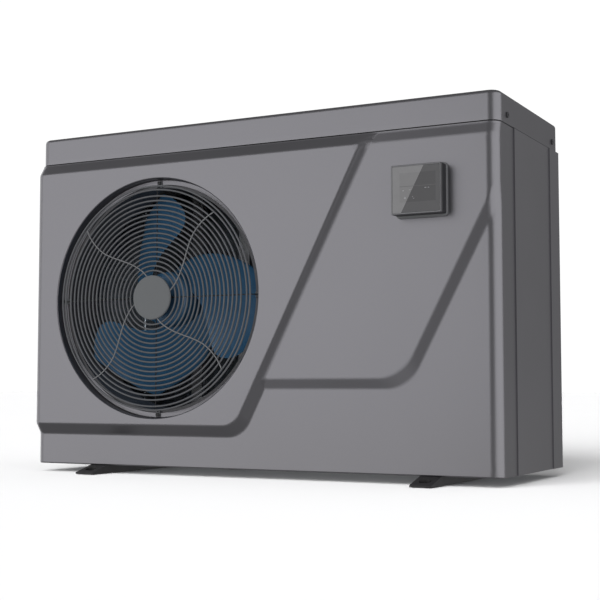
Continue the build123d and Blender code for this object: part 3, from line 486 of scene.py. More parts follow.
def clip_right(points, right):
    """Cuts a polyline at a vertical line and returns the pieces that lie left of it."""
    pieces, current = [], []
    for p, q in zip(points, points[1:]):
        if p[0] <= right:
            if not current:
                current.append(p)
            if q[0] <= right:
                current.append(q)
                continue
        elif q[0] > right:
            continue
        share = (right - p[0]) / (q[0] - p[0])
        cut = (right, p[1] + (q[1] - p[1]) * share)
        if p[0] <= right:
            current.append(cut)
            pieces.append(current)
            current = []
        else:
            current = [cut, q]
    if current:
        pieces.append(current)
    return pieces


FAN_PAD = Pad(
    bottom=92.5 * MM, top=575 * MM, corner_x=-17.7 * MM, lean=27.0, radius=44 * MM, radius_drop=-8 * MM,
    slope=19 * MM, blend=3.0 * MM, proud=FAN_PAD_PROUD,
)
MIDDLE_PAD = Pad(
    bottom=176.5 * MM, top=575 * MM, corner_x=300.9 * MM, lean=27.6, radius=76 * MM, radius_drop=8 * MM,
    slope=18 * MM, blend=3.0 * MM, proud=MIDDLE_PROUD,
)
PANEL_BOTTOM_ROUND = 2.5 * MM


def panel_depth(x, z):
    """Depth of the front block's surface, with its rounded ends and lower edge."""
    depth = -max(FAN_PAD.height(x, z), MIDDLE_PAD.height(x, z))
    over = abs(x) - (SIDE_X - CORNER_ROUND)
    if over > 0:
        depth += CORNER_ROUND - sqrt(max(0.0, CORNER_ROUND ** 2 - over ** 2))
    under = CASE_BOTTOM + PANEL_BOTTOM_ROUND - z
    if under > 0:
        depth += PANEL_BOTTOM_ROUND - sqrt(max(0.0, PANEL_BOTTOM_ROUND ** 2 - under ** 2))
    return depth


def panel_columns():
    """Upright lines of points: the rounded ends, closest together where they curve."""
    inner = SIDE_X - CORNER_ROUND
    turns = (0, 8, 16, 24, 32, 40, 48, 56, 64, 72, 79, 85, 90)
    offsets = [inner + CORNER_ROUND * sin(radians(a)) for a in turns]
    return sorted([-v for v in offsets] + offsets)


def panel_rows():
    turns = (90, 65, 40, 20, 0)
    return [CASE_BOTTOM + PANEL_BOTTOM_ROUND * (1 - sin(radians(a))) for a in turns]


HOLE_SEGMENTS = 192


def front_panel_mesh():
    columns, rows = panel_columns(), panel_rows()
    left, right = columns[0], columns[-1]
    points, edges = [], []

    def add_line(line, closed=False, step=14 * MM):
        fine = []
        pairs = list(zip(line, line[1:] + (line[:1] if closed else [])))
        if not closed:
            pairs = pairs[: len(line) - 1]
        for p, q in pairs:
            parts = max(1, ceil(hypot(q[0] - p[0], q[1] - p[1]) / step))
            fine += [
                (p[0] + (q[0] - p[0]) * k / parts, p[1] + (q[1] - p[1]) * k / parts) for k in range(parts)
            ]
        if not closed:
            fine.append(line[-1])
        base = len(points)
        points.extend(fine)
        edges.extend((base + k, base + k + 1) for k in range(len(fine) - 1))
        if closed:
            edges.append((base + len(fine) - 1, base))

    for x in columns:
        add_line([(x, rows[0]), (x, BODY_TOP)])
    for z in rows + [BODY_TOP]:
        add_line([(left, z), (right, z)])
    for pad in (FAN_PAD, MIDDLE_PAD):
        b, w = pad.blend, pad.slope
        for reach in (-b, -b / 2, 0, b / 2, b, w / 2, w - b, w - b / 2, w, w + b / 2, w + b):
            if pad.top + reach > BODY_TOP - 0.2 * MM:
                reach_pieces = pad.contour(reach, left, right)
                for piece in reach_pieces:
                    kept = [p for p in piece if p[1] < BODY_TOP - 0.2 * MM]
                    if len(kept) > 1:
                        add_line(kept)
                continue
            for piece in pad.contour(reach, left, right):
                add_line(piece)
    hole_r = OPENING_R + RIM_ROUND
    hole = []
    for k in range(HOLE_SEGMENTS):
        a = 2 * pi * k / HOLE_SEGMENTS
        hole.append((FAN_X + hole_r * cos(a), FAN_Z + hole_r * sin(a)))
    add_line(hole, closed=True)
    found = delaunay_2d_cdt([Vector(p) for p in points], edges, [], 0, 1e-6)
    flat, _, triangles = found[0], found[1], found[2]
    verts = [(p.x, at_depth(panel_depth(p.x, p.y)), p.y) for p in flat]
    faces = []
    for t in triangles:
        cx = sum(flat[i].x for i in t) / len(t)
        cz = sum(flat[i].y for i in t) / len(t)
        if hypot(cx - FAN_X, cz - FAN_Z) > hole_r * 0.9999 * cos(pi / HOLE_SEGMENTS):
            faces.append(tuple(t))
    return verts, faces


def extend_border(bm, picked, profile):
    """Carries a chain of border vertices along a profile of moves, each from a vertex's own place."""
    chain = list(picked)
    for move in profile:
        fresh = [bm.verts.new(move(v0)) for v0 in picked]
        for i in range(len(chain) - 1):
            bm.faces.new((chain[i], chain[i + 1], fresh[i + 1], fresh[i]))
        chain = fresh
    return chain


def build_front_panel():
    verts, faces = front_panel_mesh()
    mesh = bpy.data.meshes.new("front_panel_shell")
    mesh.from_pydata(verts, [], faces)
    bm = bmesh.new()
    bm.from_mesh(mesh)
    bmesh.ops.dissolve_degenerate(bm, dist=1e-6, edges=bm.edges)
    bm.verts.ensure_lookup_table()
    tiny = 1e-5
    loose = [v for v in bm.verts if not v.link_faces]
    bmesh.ops.delete(bm, geom=loose, context="VERTS")
    # side wraps
    for side in (-1, 1):
        painted_reflection_edge_x = side * SIDE_X
        picked = sorted((v for v in bm.verts if abs(v.co.x - painted_reflection_edge_x) < tiny), key=lambda v: v.co.z)
        extend_border(bm, picked, [lambda v: (v.co.x, at_depth(30 * MM), v.co.z),
                                   lambda v: (v.co.x, at_depth(WRAP_DEPTH), v.co.z)])
    # recess around the fan
    ring = []
    for v in bm.verts:
        if abs(hypot(v.co.x - FAN_X, v.co.z - FAN_Z) - OPENING_R - RIM_ROUND) < 5e-5 and v.co.y < FRONT_Y:
            ring.append(v)
    ring.sort(key=lambda v: atan2(v.co.z - FAN_Z, v.co.x - FAN_X))
    ring.append(ring[0])
    profile = []
    for a in (20, 40, 60, 75, 90):
        lift, turned = 1 - sin(radians(a)), 1 - cos(radians(a))
        profile.append((OPENING_R + RIM_ROUND * lift, -FAN_PAD_PROUD + RIM_ROUND * turned))
    inner = 2.5 * MM
    profile.append((OPENING_R, LEDGE_DEPTH - inner))
    for a in (30, 60, 90):
        across, back = inner * (1 - cos(radians(a))), inner * sin(radians(a))
        profile.append((OPENING_R - across, LEDGE_DEPTH - inner + back))
    lip = 1.5 * MM
    profile.append((LEDGE_R + lip, LEDGE_DEPTH))
    profile.append((LEDGE_R + lip * 0.3, LEDGE_DEPTH + lip * 0.3))
    profile.append((LEDGE_R, LEDGE_DEPTH + lip))
    chain = ring
    for radius, depth in profile:
        fresh = []
        for v in ring[:-1]:
            a = atan2(v.co.z - FAN_Z, v.co.x - FAN_X)
            fresh.append(bm.verts.new((FAN_X + radius * cos(a), at_depth(depth), FAN_Z + radius * sin(a))))
        fresh.append(fresh[0])
        for i in range(len(chain) - 1):
            bm.faces.new((chain[i], chain[i + 1], fresh[i + 1], fresh[i]))
        chain = fresh
    # lower return flange
    low = sorted((v for v in bm.verts if abs(v.co.z - CASE_BOTTOM) < tiny), key=lambda v: v.co.x)
    low = [v for v in low if abs(v.co.x) < SIDE_X - 3 * MM and v.co.y < at_depth(18 * MM)]
    flange = [lambda v: (v.co.x, at_depth(20 * MM), v.co.z)]
    extend_border(bm, low, flange)
    bmesh.ops.recalc_face_normals(bm, faces=bm.faces)
    outward = sum(f.normal.y * f.calc_area() for f in bm.faces if abs(f.normal.y) > 0.9)
    if outward > 0:
        bmesh.ops.reverse_faces(bm, faces=bm.faces)
    bm.to_mesh(mesh)
    bm.free()
    for poly in mesh.polygons:
        poly.use_smooth = True
    mesh.set_sharp_from_angle(angle=radians(50))
    mesh.materials.append(POWDER)
    obj = bpy.data.objects.new("front_panel_shell", mesh)
    bpy.context.scene.collection.objects.link(obj)
    solid = obj.modifiers.new("Sheet", "SOLIDIFY")
    solid.thickness = SHEET
    solid.offset = -1.0
    normals = obj.modifiers.new("Normals", "WEIGHTED_NORMAL")
    normals.keep_sharp = True
    return place(obj, "casing", "casing_paint", "front_panel")


build_front_panel()


# ---- Top cover ----
def cover_contour(inset):
    """The cover's plan outline moved inwards, as points with a fixed count."""
    side, front, back = COVER_HIGH.x - inset, inset, COVER_HIGH.y - FRONT_Y - inset
    corners = [(side, front, CORNER_ROUND, -90), (side, back, 4 * MM, 0), (-side, back, 4 * MM, 90),
               (-side, front, CORNER_ROUND, 180)]
    points = []
    for x, depth, radius, start in corners:
        r = max(0.3 * MM, radius - inset)
        cx = x - r if x > 0 else x + r
        cd = depth - r if depth == back else depth + r
        for k in range(13):
            a = radians(start + 90 * k / 12)
            points.append((cx + r * cos(a), at_depth(cd + r * sin(a))))
    return points


def build_cover():
    low, high = COVER_LOW.z, COVER_HIGH.z
    round_r = 7.5 * MM
    rows = []

    def row(inset, z):
        rows.append([(x, y, z) for x, y in cover_contour(inset)])

    wall = 2 * MM
    row(12 * MM, low + wall)
    row(12 * MM, low)
    row(0.8 * MM, low)
    row(0, low + 0.8 * MM)
    for share in (0.25, 0.5, 0.75):
        row(0, low + (high - round_r - low) * share)
    for k in range(0, 8):
        a = radians(90 * k / 7)
        row(round_r * (1 - cos(a)), high - round_r + round_r * sin(a))
    for inset, drop in ((30, 0), (32, 0.25), (36, 1.75), (38, 2.0), (120, 2.0)):
        row(inset * MM, high - drop * MM)
    verts, faces = [], []
    join_rows(rows, True, verts, faces)
    count = len(rows[0])
    top = len(verts) - count
    faces.append(tuple(range(top, top + count)))
    inner = []
    inner_rows = (
        (12 * MM, low + wall), (wall, low + wall + 0.4 * MM), (wall, high - round_r),
        (round_r, high - wall * 2.2),
    )
    for inset, z in inner_rows:
        inner.append([(x, y, z) for x, y in cover_contour(inset)])
    base = len(verts)
    join_rows(inner, True, verts, faces)
    last = base + (len(inner) - 1) * count
    faces.append(tuple(reversed(range(last, last + count))))
    obj = add_mesh("top_cover_shell", verts, faces, POWDER, sharp_angle=40)
    weld = obj.modifiers.new("Weld", "WELD")
    weld.merge_threshold = 1e-5
    normals = obj.modifiers.new("Normals", "WEIGHTED_NORMAL")
    normals.keep_sharp = True
    return place(obj, "casing", "casing_paint", "top_cover")


build_cover()


# ---- Grille ----
RING_RADII = [(50.0 + 8.65 * k) * MM for k in range(17)] + [200.0 * MM, 207.0 * MM]
WIRE_R = 1.7 * MM
RING_DEPTH = -17.0 * MM


def spoke_angle(radius):
    """Angle of an S-curved spoke at a radius in metres, degrees past its starting direction."""
    r = radius / MM
    if r < 150:
        return 52 - 34 * ((150 - r) / 107) ** 2
    return 52 - 3.5 * ((r - 150) / 50) ** 2


def polar(radius, angle, depth):
    a = radians(angle)
    return (FAN_X + radius * cos(a), at_depth(depth), FAN_Z + radius * sin(a))


def build_grille():
    verts, faces = [], []
    for radius in RING_RADII:
        segments = 96 if radius < 120 * MM else 160
        ring = [polar(radius, 360 * k / segments, RING_DEPTH) for k in range(segments)]
        tube(ring, WIRE_R, 10, verts, faces, closed=True)
    hub = [(28, -20.8), (38, -20.8), (38, -18.8), (28, -18.8)]
    revolve(FAN_X, FAN_Z, [(r * MM, d * MM) for r, d in hub], 64, verts, faces, closed_profile=True)
    obj = add_mesh("grille_wires", verts, faces, WIRE_PAINT, sharp_angle=50)
    place(obj, "casing", "grille_wire", "fan_grille")
    # curved stays in front of the rings
    verts, faces = [], []
    spoke_r = 1.15 * MM
    for quarter in range(4):
        line = []
        for k in range(34):
            radius = (30 + 170 * k / 33) * MM
            angle = 90 * quarter + spoke_angle(radius)
            line.append(polar(radius, angle, RING_DEPTH - WIRE_R - spoke_r * 0.6))
        tube(line, spoke_r, 8, verts, faces)
    stays = add_mesh("grille_curved_stays", verts, faces, STAY_PAINT, sharp_angle=50)
    place(stays, "casing", "grille_wire")
    # straight stays behind the rings
    verts, faces = [], []
    for quarter in range(4):
        turn = 90 * quarter
        stay = [polar(r * MM, turn, -5 * MM) for r in (24, 60, 120, 180, 203)]
        stay += [polar(r * MM, turn, depth * MM) for r, depth in ((206, -3.5), (207.5, 0.5), (210, 2.6))]
        tube(stay, 1.0 * MM, 8, verts, faces)
        post = [polar(36 * MM, turn, d * MM) for d in (-20.6, -12, -4.5)]
        tube(post, 2.0 * MM, 8, verts, faces)
    stays = add_mesh("grille_straight_stays", verts, faces, GUARD_PAINT, sharp_angle=50)
    place(stays, "casing", "grille_wire")
    # flat tabs that hold the grille to the ledge
    verts, faces = [], []
    for quarter in range(4):
        a = radians(90 * quarter)
        tab_v, tab_f = [], []
        low, high = (206.5 * MM, LEDGE_DEPTH - 1.8 * MM, -5 * MM), (219 * MM, LEDGE_DEPTH, 5 * MM)
        solid_box(low, high, tab_v, tab_f)
        base = len(verts)
        for x, d, z in tab_v:
            verts.append((FAN_X + x * cos(a) - z * sin(a), at_depth(d), FAN_Z + x * sin(a) + z * cos(a)))
        faces += [tuple(base + i for i in f) for f in tab_f]
    tabs = add_mesh("grille_tabs", verts, faces, WIRE_PAINT, sharp_angle=30)
    bevel(tabs, 0.5 * MM)
    place(tabs, "casing", "grille_wire")


build_grille()


def build_disc():
    face, back = -21.9 * MM, -18.9 * MM
    profile = [
        (8, face), (38, face), (39.6, face + 0.05 * MM), (40.6, face + 0.5 * MM), (41, face + 1.3 * MM),
        (41, back + 0.4 * MM), (40.6, back), (8, back),
    ]
    verts, faces = [], []
    segments = 96
    revolve(FAN_X, FAN_Z, [(radius * MM, depth) for radius, depth in profile], segments, verts, faces)
    faces.append(tuple(range(segments)))
    faces.append(tuple(range(len(verts) - 1, len(verts) - segments - 1, -1)))
    obj = add_mesh("grille_cap", verts, faces, DISC_PAINT, sharp_angle=60)
    place(obj, "casing", "disc_paint", "grille_disc")


build_disc()

# ---- Fan ----
HUB_R = 52.0
FAN_R = 199.8
BLADES = 3
BLADE_STARTS = (138.0, 79.0, 93.0)
BLADE_SPANS = (108.0, 83.0, 33.0)


def through_three(values, share):
    """Smooth value along a blade from its hub, halfway and tip values."""
    root, middle, tip = values
    rest = 1 - share
    return root * rest * (1 - 2 * share) + 4 * middle * share * rest + tip * share * (2 * share - 1)


def blade_point(index, along, share, side):
    """A point on a blade's front (side -1) or back (side 1); along runs from front edge to back edge."""
    radius = HUB_R - 2 + (FAN_R - HUB_R + 2) * share
    start = through_three(BLADE_STARTS, share) + 360.0 / BLADES * index
    depth = 32.5 + (54.0 + 38.0 * share) * along + 6.0 * sin(pi * along)
    thick = 2.4 * sqrt(max(0.0, 1 - (2 * along - 1) ** 6)) * (1 - 0.35 * share) + 0.25
    a = radians(start + through_three(BLADE_SPANS, share) * along)
    return (
        FAN_X + radius * cos(a) * MM,
        at_depth((depth + side * thick * 0.5) * MM),
        FAN_Z + radius * sin(a) * MM,
    )


def build_fan():
    verts, faces = [], []
    hub = [
        (6.1, 22), (22, 22), (30, 20.4), (40, 20.4), (45, 21.5), (49, 24.5), (51, 28.5), (52, 34), (52, 112),
        (51, 115.5), (48.5, 116), (48, 115), (48, 34), (14, 33), (14, 80), (6.1, 80), (6.1, 22),
    ]
    revolve(FAN_X, FAN_Z, [(r * MM, d * MM) for r, d in hub], 96, verts, faces)
    across, out = 28, 22
    for index in range(BLADES):
        sides = []
        for side in (-1, 1):
            sides.append([
                [blade_point(index, i / across, j / out, side) for j in range(out + 1)]
                for i in range(across + 1)
            ])
        base = len(verts)
        row = out + 1
        for sheet in sides:
            for line in sheet:
                verts.extend(line)
        offset = (across + 1) * row
        for i in range(across):
            for j in range(out):
                a = base + i * row + j
                faces.append((a, a + 1, a + row + 1, a + row))
                b = a + offset
                faces.append((b, b + row, b + row + 1, b + 1))
        for i in range(across):
            for j in (0, out):
                a = base + i * row + j
                faces.append((a, a + row, a + row + offset, a + offset))
        for j in range(out):
            for i in (0, across):
                a = base + i * row + j
                faces.append((a, a + 1, a + 1 + offset, a + offset))
    for k in range(12):
        a = 360 / 12 * k
        rib = [polar(r * MM, a, d * MM) for r, d in ((14, 45), (30, 45), (48.5, 45))]
        tube(rib, 1.2 * MM, 6, verts, faces)
    obj = add_mesh("fan_rotor_moulding", verts, faces, BLUE, sharp_angle=55)
    place(obj, "fan_rotor", "blue_plastic", "fan")


build_fan()


# ---- Display ----
def rounded_outline(x0, x1, z0, z1, radius, steps=6):
    points = []
    for cx, cz, start in ((x1 - radius, z0 + radius, -90), (x1 - radius, z1 - radius, 0),
                          (x0 + radius, z1 - radius, 90), (x0 + radius, z0 + radius, 180)):
        for k in range(steps + 1):
            a = radians(start + 90 * k / steps)
            points.append((cx + radius * cos(a), cz + radius * sin(a)))
    return points


def lofted_plate(name, rows, material, body, slot, *nodes, sharp=40):
    """Closes a stack of (outline, depth) rows into a solid with flat ends."""
    verts, faces = [], []
    rings = [[(x, at_depth(depth), z) for x, z in outline] for outline, depth in rows]
    join_rows(rings, True, verts, faces)
    count = len(rings[0])
    faces.append(tuple(range(count)))
    last = len(verts) - count
    faces.append(tuple(reversed(range(last, last + count))))
    obj = add_mesh(name, verts, faces, material, sharp_angle=sharp)
    return place(obj, body, slot, *nodes)


def inset_outline(box, inset, radius):
    """Rounded outline of a plate's (x0, x1, z0, z1), pulled in by inset."""
    x0, x1, z0, z1 = box
    return rounded_outline(x0 + inset, x1 - inset, z0 + inset, z1 - inset, radius)


def build_display():
    base_low, base_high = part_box("display_base")
    case_low, case_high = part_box("display_housing")
    base_box = (base_low.x, base_high.x, base_low.z, base_high.z)
    base_front, base_back = base_low.y - FRONT_Y, base_high.y - FRONT_Y
    soft = 1.6 * MM
    rows = []
    for inset, depth in ((0, base_back), (0, base_front + soft), (0.3 * MM, base_front + 0.8 * MM),
                         (0.8 * MM, base_front + 0.3 * MM), (soft, base_front)):
        rows.append((inset_outline(base_box, inset, 7 * MM - inset), depth))
    lofted_plate("display_back_plate", rows, DISPLAY_PLATE, "casing", "display_plastic", "display_base")
    case_box = (case_low.x, case_high.x, case_low.z, case_high.z)
    corner = 1.9 * MM
    front, back = case_low.y - FRONT_Y, case_high.y - FRONT_Y
    rim = 2.2 * MM
    rows = []
    for inset, depth in ((0.6 * MM, back), (0, back - 0.6 * MM), (0, front + 7.4 * MM),
                         (0.7 * MM, front + 7.0 * MM), (0.7 * MM, front + 5.6 * MM)):
        rows.append((inset_outline(case_box, inset, corner - inset), depth))
    lofted_plate("display_case", rows, DISPLAY_CASE, "casing", "display_plastic", "display_housing")
    verts, faces = [], []
    loops = []
    for inset, depth in ((0.1 * MM, front + 5.8 * MM), (0, front + 5.4 * MM), (0, front + 0.9 * MM),
                         (0.3 * MM, front + 0.25 * MM), (0.9 * MM, front), (rim, front),
                         (rim, front + 5.8 * MM)):
        outline = inset_outline(case_box, inset, corner - min(inset, 1.2 * MM))
        loops.append([(x, at_depth(depth), z) for x, z in outline])
    loops.append(loops[0])
    join_rows(loops, True, verts, faces)
    place(add_mesh("display_rim", verts, faces, RIM_METAL, sharp_angle=40), "casing", "display_plastic")
    glass_box = (GLASS_LOW.x, GLASS_HIGH.x, GLASS_LOW.z, GLASS_HIGH.z)
    glass_front = GLASS_LOW.y - FRONT_Y
    rows = []
    for inset, depth in ((0.2 * MM, glass_front + 2.2 * MM), (0.2 * MM, glass_front + 0.3 * MM),
                         (0.5 * MM, glass_front)):
        rows.append((inset_outline(glass_box, inset, 0.7 * MM), depth))
    lofted_plate("display_touch_glass", rows, glass_material(*glass_box), "casing", "display_glass",
                 "display_glass", sharp=30)
    build_icons(glass_front)


def glass_material(x0, x1, z0, z1):
    """Smoked glass: a slanted band of painted reflection, the darker screen behind it and its lines, all in
    object space.
    """
    material = bpy.data.materials.new("smoked_touch_glass_painted_reflection")
    material.use_nodes = True
    nodes, links = material.node_tree.nodes, material.node_tree.links
    shader = nodes["Principled BSDF"]
    shader.inputs["Roughness"].default_value = 0.08
    shader.inputs["Coat Weight"].default_value = 0.6
    shader.inputs["Coat Roughness"].default_value = 0.03
    coords = nodes.new("ShaderNodeTexCoord")
    split = nodes.new("ShaderNodeSeparateXYZ")
    links.new(coords.outputs["Object"], split.inputs["Vector"])

    def math(operation, a, b=None):
        node = nodes.new("ShaderNodeMath")
        node.operation = operation
        for socket, value in zip(node.inputs, (a, b)):
            if isinstance(value, (int, float)):
                socket.default_value = value
            elif value is not None:
                links.new(value, socket)
        return node.outputs["Value"]

    def between(value, low, high):
        return math("MULTIPLY", math("GREATER_THAN", value, low), math("LESS_THAN", value, high))

    def mix(factor, a, b):
        node = nodes.new("ShaderNodeMix")
        node.data_type = "RGBA"
        links.new(factor, node.inputs["Factor"])
        for key, value in (("A", a), ("B", b)):
            if isinstance(value, tuple):
                node.inputs[key].default_value = value
            else:
                links.new(value, node.inputs[key])
        return node.outputs["Result"]

    x, z = split.outputs["X"], split.outputs["Z"]
    # Painted reflection: left of a slanted line the glass is coloured brighter, in place of a reflected
    # light.
    lean = (x1 - x0) * 0.48 / (z1 - z0)
    painted_reflection_edge_x = math("ADD", math("MULTIPLY", math("SUBTRACT", z, z0), lean), x0 + (x1 - x0) * 0.185)
    painted_reflection_side = math("LESS_THAN", x, painted_reflection_edge_x)
    screen_x0, screen_x1 = x0 + 13.5 * MM, x1 - 7.5 * MM
    screen_z0, screen_z1 = z0 + 17.5 * MM, z1 - 11.5 * MM
    in_screen = math("MULTIPLY", between(x, screen_x0, screen_x1), between(z, screen_z0, screen_z1))
    middle = (screen_z0 + screen_z1) / 2 + 1.5 * MM
    divider = math("MULTIPLY", in_screen, between(z, middle, middle + 0.7 * MM))
    dark = mix(in_screen, (0.074, 0.073, 0.080, 1), (0.046, 0.045, 0.051, 1))
    painted_reflection_colour = mix(in_screen, (0.300, 0.297, 0.308, 1), (0.268, 0.265, 0.275, 1))
    colour = mix(painted_reflection_side, dark, painted_reflection_colour)
    colour = mix(divider, colour, (0.115, 0.115, 0.12, 1))
    grime = nodes.new("ShaderNodeTexNoise")
    grime.inputs["Scale"].default_value = 90.0
    links.new(coords.outputs["Object"], grime.inputs["Vector"])
    film = nodes.new("ShaderNodeMix")
    film.data_type = "RGBA"
    film.blend_type = "MULTIPLY"
    film.inputs["Factor"].default_value = 1.0
    tone = ramp(nodes, 0.94, 1.06)
    links.new(grime.outputs["Fac"], tone.inputs["Value"])
    links.new(colour, film.inputs["A"])
    links.new(tone.outputs["Result"], film.inputs["B"])
    links.new(film.outputs["Result"], shader.inputs["Base Color"])
    return material


def build_icons(front):
    """A few plain marks under the screen's line: dots, dashes and a ring."""
    x0, x1 = GLASS_LOW.x, GLASS_HIGH.x
    z0, z1 = GLASS_LOW.z, GLASS_HIGH.z
    width, tall = x1 - x0, z1 - z0
    verts, faces = [], []
    thick = 0.12 * MM

    def circle(u, v, r, depth, count):
        cx, cz = x0 + width * u, z0 + tall * v
        turns = [2 * pi * k / count for k in range(count)]
        return [(cx + r * MM * cos(a), at_depth(depth), cz + r * MM * sin(a)) for a in turns]

    def dot(u, v, radius):
        base = len(verts)
        count = 20
        rows = [circle(u, v, radius, depth, count) for depth in (front + thick, front - thick)]
        join_rows(rows, True, verts, faces)
        faces.append(tuple(base + k for k in reversed(range(count))))
        faces.append(tuple(base + count + k for k in range(count)))

    def dash(u, v, w, h):
        cx, cz = x0 + width * u, z0 + tall * v
        solid_box((cx - w * MM / 2, at_depth(front - thick), cz - h * MM / 2),
                  (cx + w * MM / 2, at_depth(front + thick), cz + h * MM / 2), verts, faces)

    def ring(u, v, radius, width_mm):
        outline = [(radius, front - thick), (radius - width_mm, front - thick),
                   (radius - width_mm, front + thick), (radius, front + thick)]
        rows = [circle(u, v, r, depth, 24) for r, depth in outline]
        rows.append(rows[0])
        join_rows(rows, True, verts, faces)

    dot(0.235, 0.475, 1.0)
    dash(0.375, 0.485, 2.6, 0.7)
    ring(0.275, 0.315, 1.7, 0.6)
    dot(0.275, 0.315, 0.6)
    dash(0.43, 0.335, 1.4, 0.7)
    dash(0.455, 0.30, 1.4, 0.7)
    dash(0.70, 0.51, 3.0, 0.8)
    dash(0.765, 0.51, 2.4, 0.8)
    obj = add_mesh("display_marks", verts, faces, ICON, sharp_angle=30)
    place(obj, "casing", "display_module")


build_display()


# ---- Evaporator: real fins in place of the solid block ----
def build_fins():
    low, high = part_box("evaporator_fins")
    thick = 0.22 * MM
    pitch = 2.1 * MM
    leg = 40 * MM
    bend = 30 * MM
    verts, faces = [], []
    x = low.x + bend + leg * 0.35
    while x < high.x - thick:
        solid_box((x, high.y - leg, low.z), (x + thick, high.y, high.z), verts, faces)
        x += pitch
    y = low.y
    while y < high.y - bend - leg * 0.35:
        solid_box((low.x, y, low.z), (low.x + leg, y + thick, high.z), verts, faces)
        y += pitch
    centre = Vector((low.x + bend + leg * 0.35, high.y - bend - leg * 0.35, 0))
    steps = 30
    for k in range(1, steps):
        a = radians(90 + 90 * k / steps)
        outer = bend + leg * 0.35
        along = Vector((cos(a), sin(a), 0))
        across = Vector((-sin(a), cos(a), 0)) * (thick / 2)
        corner = min(outer / max(abs(along.x), abs(along.y)), outer * 1.04)
        reach = max(outer - leg, 2 * MM)
        base = len(verts)
        for r in (reach, corner):
            for s in (-1, 1):
                for z in (low.z, high.z):
                    p = centre + along * r + across * s
                    verts.append((max(p.x, low.x), min(p.y, high.y), z))
        for quad in ((0, 1, 3, 2), (4, 6, 7, 5), (0, 4, 5, 1), (2, 3, 7, 6), (0, 2, 6, 4), (1, 5, 7, 3)):
            faces.append(tuple(base + q for q in quad))
    obj = add_mesh("evaporator_fin_pack", verts, faces, FIN, smooth=False)
    place(obj, "casing", "fin_aluminium", "evaporator_fins")
    # tubes threaded through the fins
    verts, faces = [], []
    for row, inset in enumerate((29, 11)):
        y = high.y - inset * MM
        for i in range(10):
            for half in (0, 25):
                z = low.z + (32 + 50 * i + 12 * row + half) * MM
                if z > high.z - 12 * MM:
                    continue
                corner = low.x + inset * MM
                r = 24 * MM
                path = [(high.x, y, z), (corner + r, y, z)]
                for k in range(1, 7):
                    a = radians(90 + 15 * k)
                    path.append((corner + r + r * cos(a), y - r + r * sin(a), z))
                path.append((corner, low.y + 4 * MM, z))
                tube(path, 4.6 * MM, 10, verts, faces)
    obj = add_mesh("evaporator_tube_runs", verts, faces, COPPER, sharp_angle=50)
    place(obj, "casing", "copper")


build_fins()


# ---- Edges of the carried-over CAD pieces ----
FINE_EDGES = {
    "left_side_panel": 0.6, "right_side_panel": 0.6, "rear_panel": 0.6, "base_pan": 0.6,
    "left_foot_rail": 0.9, "right_foot_rail": 0.9, "foot_pads": 1.0, "fan_shroud": 0.5,
    "motor_bracket": 0.5, "partition_panel": 0.3,
    "inlet_union_nut": 0.8, "outlet_union_nut": 0.8, "inlet_tailpiece": 0.8, "outlet_tailpiece": 0.8,
    "cable_glands": 0.7, "top_cover_screws": 0.3, "rear_panel_screws": 0.3, "grille_screws": 0.3,
    "foot_bolts": 0.5, "fan_nut": 0.6, "drain_spout": 0.6, "control_box": 0.4, "exchanger_bracket": 0.6,
    "rear_coil_guard": 0.7, "left_coil_guard": 0.7,
}
for name, width in FINE_EDGES.items():
    bevel(NODES[name], width * MM, segments=2)
for node in NODES.values():
    if len(node.data.polygons):
        for poly in node.data.polygons:
            poly.use_smooth = True
        node.data.set_sharp_from_angle(angle=radians(32))


# ---- Floor, light and camera ----
def build_stage():
    reach = 40.0
    verts = [(-reach, -reach, 0), (reach, -reach, 0), (reach, reach, 0), (-reach, reach, 0)]
    paint = surface(
        "pale_floor", (0.80, 0.80, 0.805), roughness=0.85, spread=0.004, patch=0.7, grain=60.0, bump=0.02,
    )
    obj = add_mesh("floor", verts, [(0, 1, 2, 3)], paint)
    obj.visible_diffuse = False
    obj.visible_glossy = False
    obj.visible_shadow = False
    return obj


def link_light(light, objects, excluded=False):
    """Lights only the given objects, or all but them."""
    group = bpy.data.collections.new(light.name + "_receivers")
    for obj in objects:
        group.objects.link(obj)
    light.light_linking.receiver_collection = group
    if excluded:
        for entry in group.collection_objects:
            entry.light_linking.link_state = "EXCLUDE"


def add_panel(name, centre_turn, spread, low, high, distance, radiance):
    """A soft box that faces the object: turns are degrees from the front, towards +X."""
    width = 2 * distance * tan(radians(spread / 2))
    tall = high - low
    data = bpy.data.lights.new(name, "AREA")
    data.shape = "RECTANGLE"
    data.size, data.size_y = width, tall
    data.energy = radiance * pi * width * tall
    obj = bpy.data.objects.new(name, data)
    turn = radians(centre_turn)
    obj.location = (distance * sin(turn), -distance * cos(turn), (low + high) / 2)
    obj.rotation_euler = (radians(90), 0.0, turn)
    bpy.context.scene.collection.objects.link(obj)
    return obj


def add_sun(name, direction, strength, angle):
    data = bpy.data.lights.new(name, "SUN")
    data.energy = strength
    data.angle = radians(angle)
    obj = bpy.data.objects.new(name, data)
    obj.rotation_euler = Vector(direction).to_track_quat("-Z", "Y").to_euler()
    bpy.context.scene.collection.objects.link(obj)
    return obj


# name, turn of the middle, spread, low and high edges, distance, radiance: these light the object only
SOFT_BOXES = (
    ("left_soft_box", -31, 62, -0.85, 2.6, 3.4, 0.92),
    ("right_soft_box", 86, 82, -1.2, 2.2, 2.4, 0.88),
    ("back_soft_box", 245, 90, -1.0, 2.6, 3.0, 0.8),
)
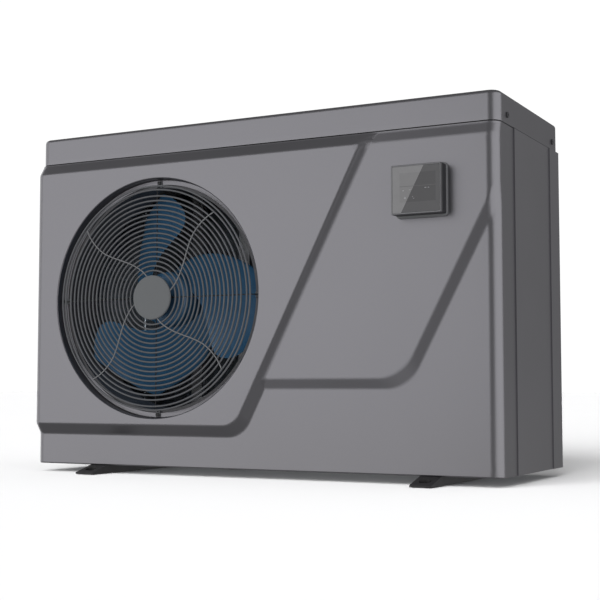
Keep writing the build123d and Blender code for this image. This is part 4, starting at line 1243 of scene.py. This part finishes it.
# name, direction, strength, angle across: these light the floor only
FLOOR_SUNS = (
    ("floor_light", (0.10, 1.0, -0.42), 6.1, 60),
    ("floor_wash", (0.0, 0.5, -1.0), 1.2, 120),
)
INSIDE_FILL = ("inside_fill", (-0.25, 1.0, -0.1), 1.3, 40)
INSIDE = (
    "evaporator_fin_pack", "fan_rotor_moulding", "fan_shroud", "partition_panel", "motor_bracket",
    "fan_motor", "evaporator_end_plates", "base_pan",
)
WORLD_AMBIENT = 0.20
WORLD_SEEN = 1.05

floor = build_stage()
panels = [add_panel(*values) for values in SOFT_BOXES]
for panel in panels:
    link_light(panel, [floor], excluded=True)
for values in FLOOR_SUNS:
    link_light(add_sun(*values), [floor])
link_light(add_sun(*INSIDE_FILL), [bpy.data.objects[name] for name in INSIDE])

world = bpy.data.worlds.new("studio")
bpy.context.scene.world = world
world.use_nodes = True
w_nodes, w_links = world.node_tree.nodes, world.node_tree.links
background = w_nodes["Background"]
rays = w_nodes.new("ShaderNodeLightPath")
sky = w_nodes.new("ShaderNodeMapRange")
sky.inputs["To Min"].default_value = WORLD_AMBIENT
sky.inputs["To Max"].default_value = WORLD_SEEN
w_links.new(rays.outputs["Is Camera Ray"], sky.inputs["Value"])
w_links.new(sky.outputs["Result"], background.inputs["Strength"])
background.inputs["Color"].default_value = (1, 1, 1, 1)

view = bpy.context.scene.view_settings
view.view_transform = "Standard"
view.look = "None"
view.exposure = 0.0
view.gamma = 1.0

CAMERA_YAW = 27.704
CAMERA_PITCH = 4.014
CAMERA_X, CAMERA_BEFORE_FRONT, CAMERA_HEIGHT = 1.1172, 1.9254, 0.1607
SENSOR_WIDTH = 36.0
LENS = 75.0
camera_data = bpy.data.cameras.new("camera")
camera_data.sensor_width = SENSOR_WIDTH
camera_data.lens = LENS
camera = bpy.data.objects.new("camera", camera_data)
camera.location = (CAMERA_X, FRONT_Y - CAMERA_BEFORE_FRONT, CAMERA_HEIGHT)
camera.rotation_euler = (radians(90 + CAMERA_PITCH), 0.0, radians(CAMERA_YAW))
bpy.context.scene.collection.objects.link(camera)
bpy.context.scene.camera = camera
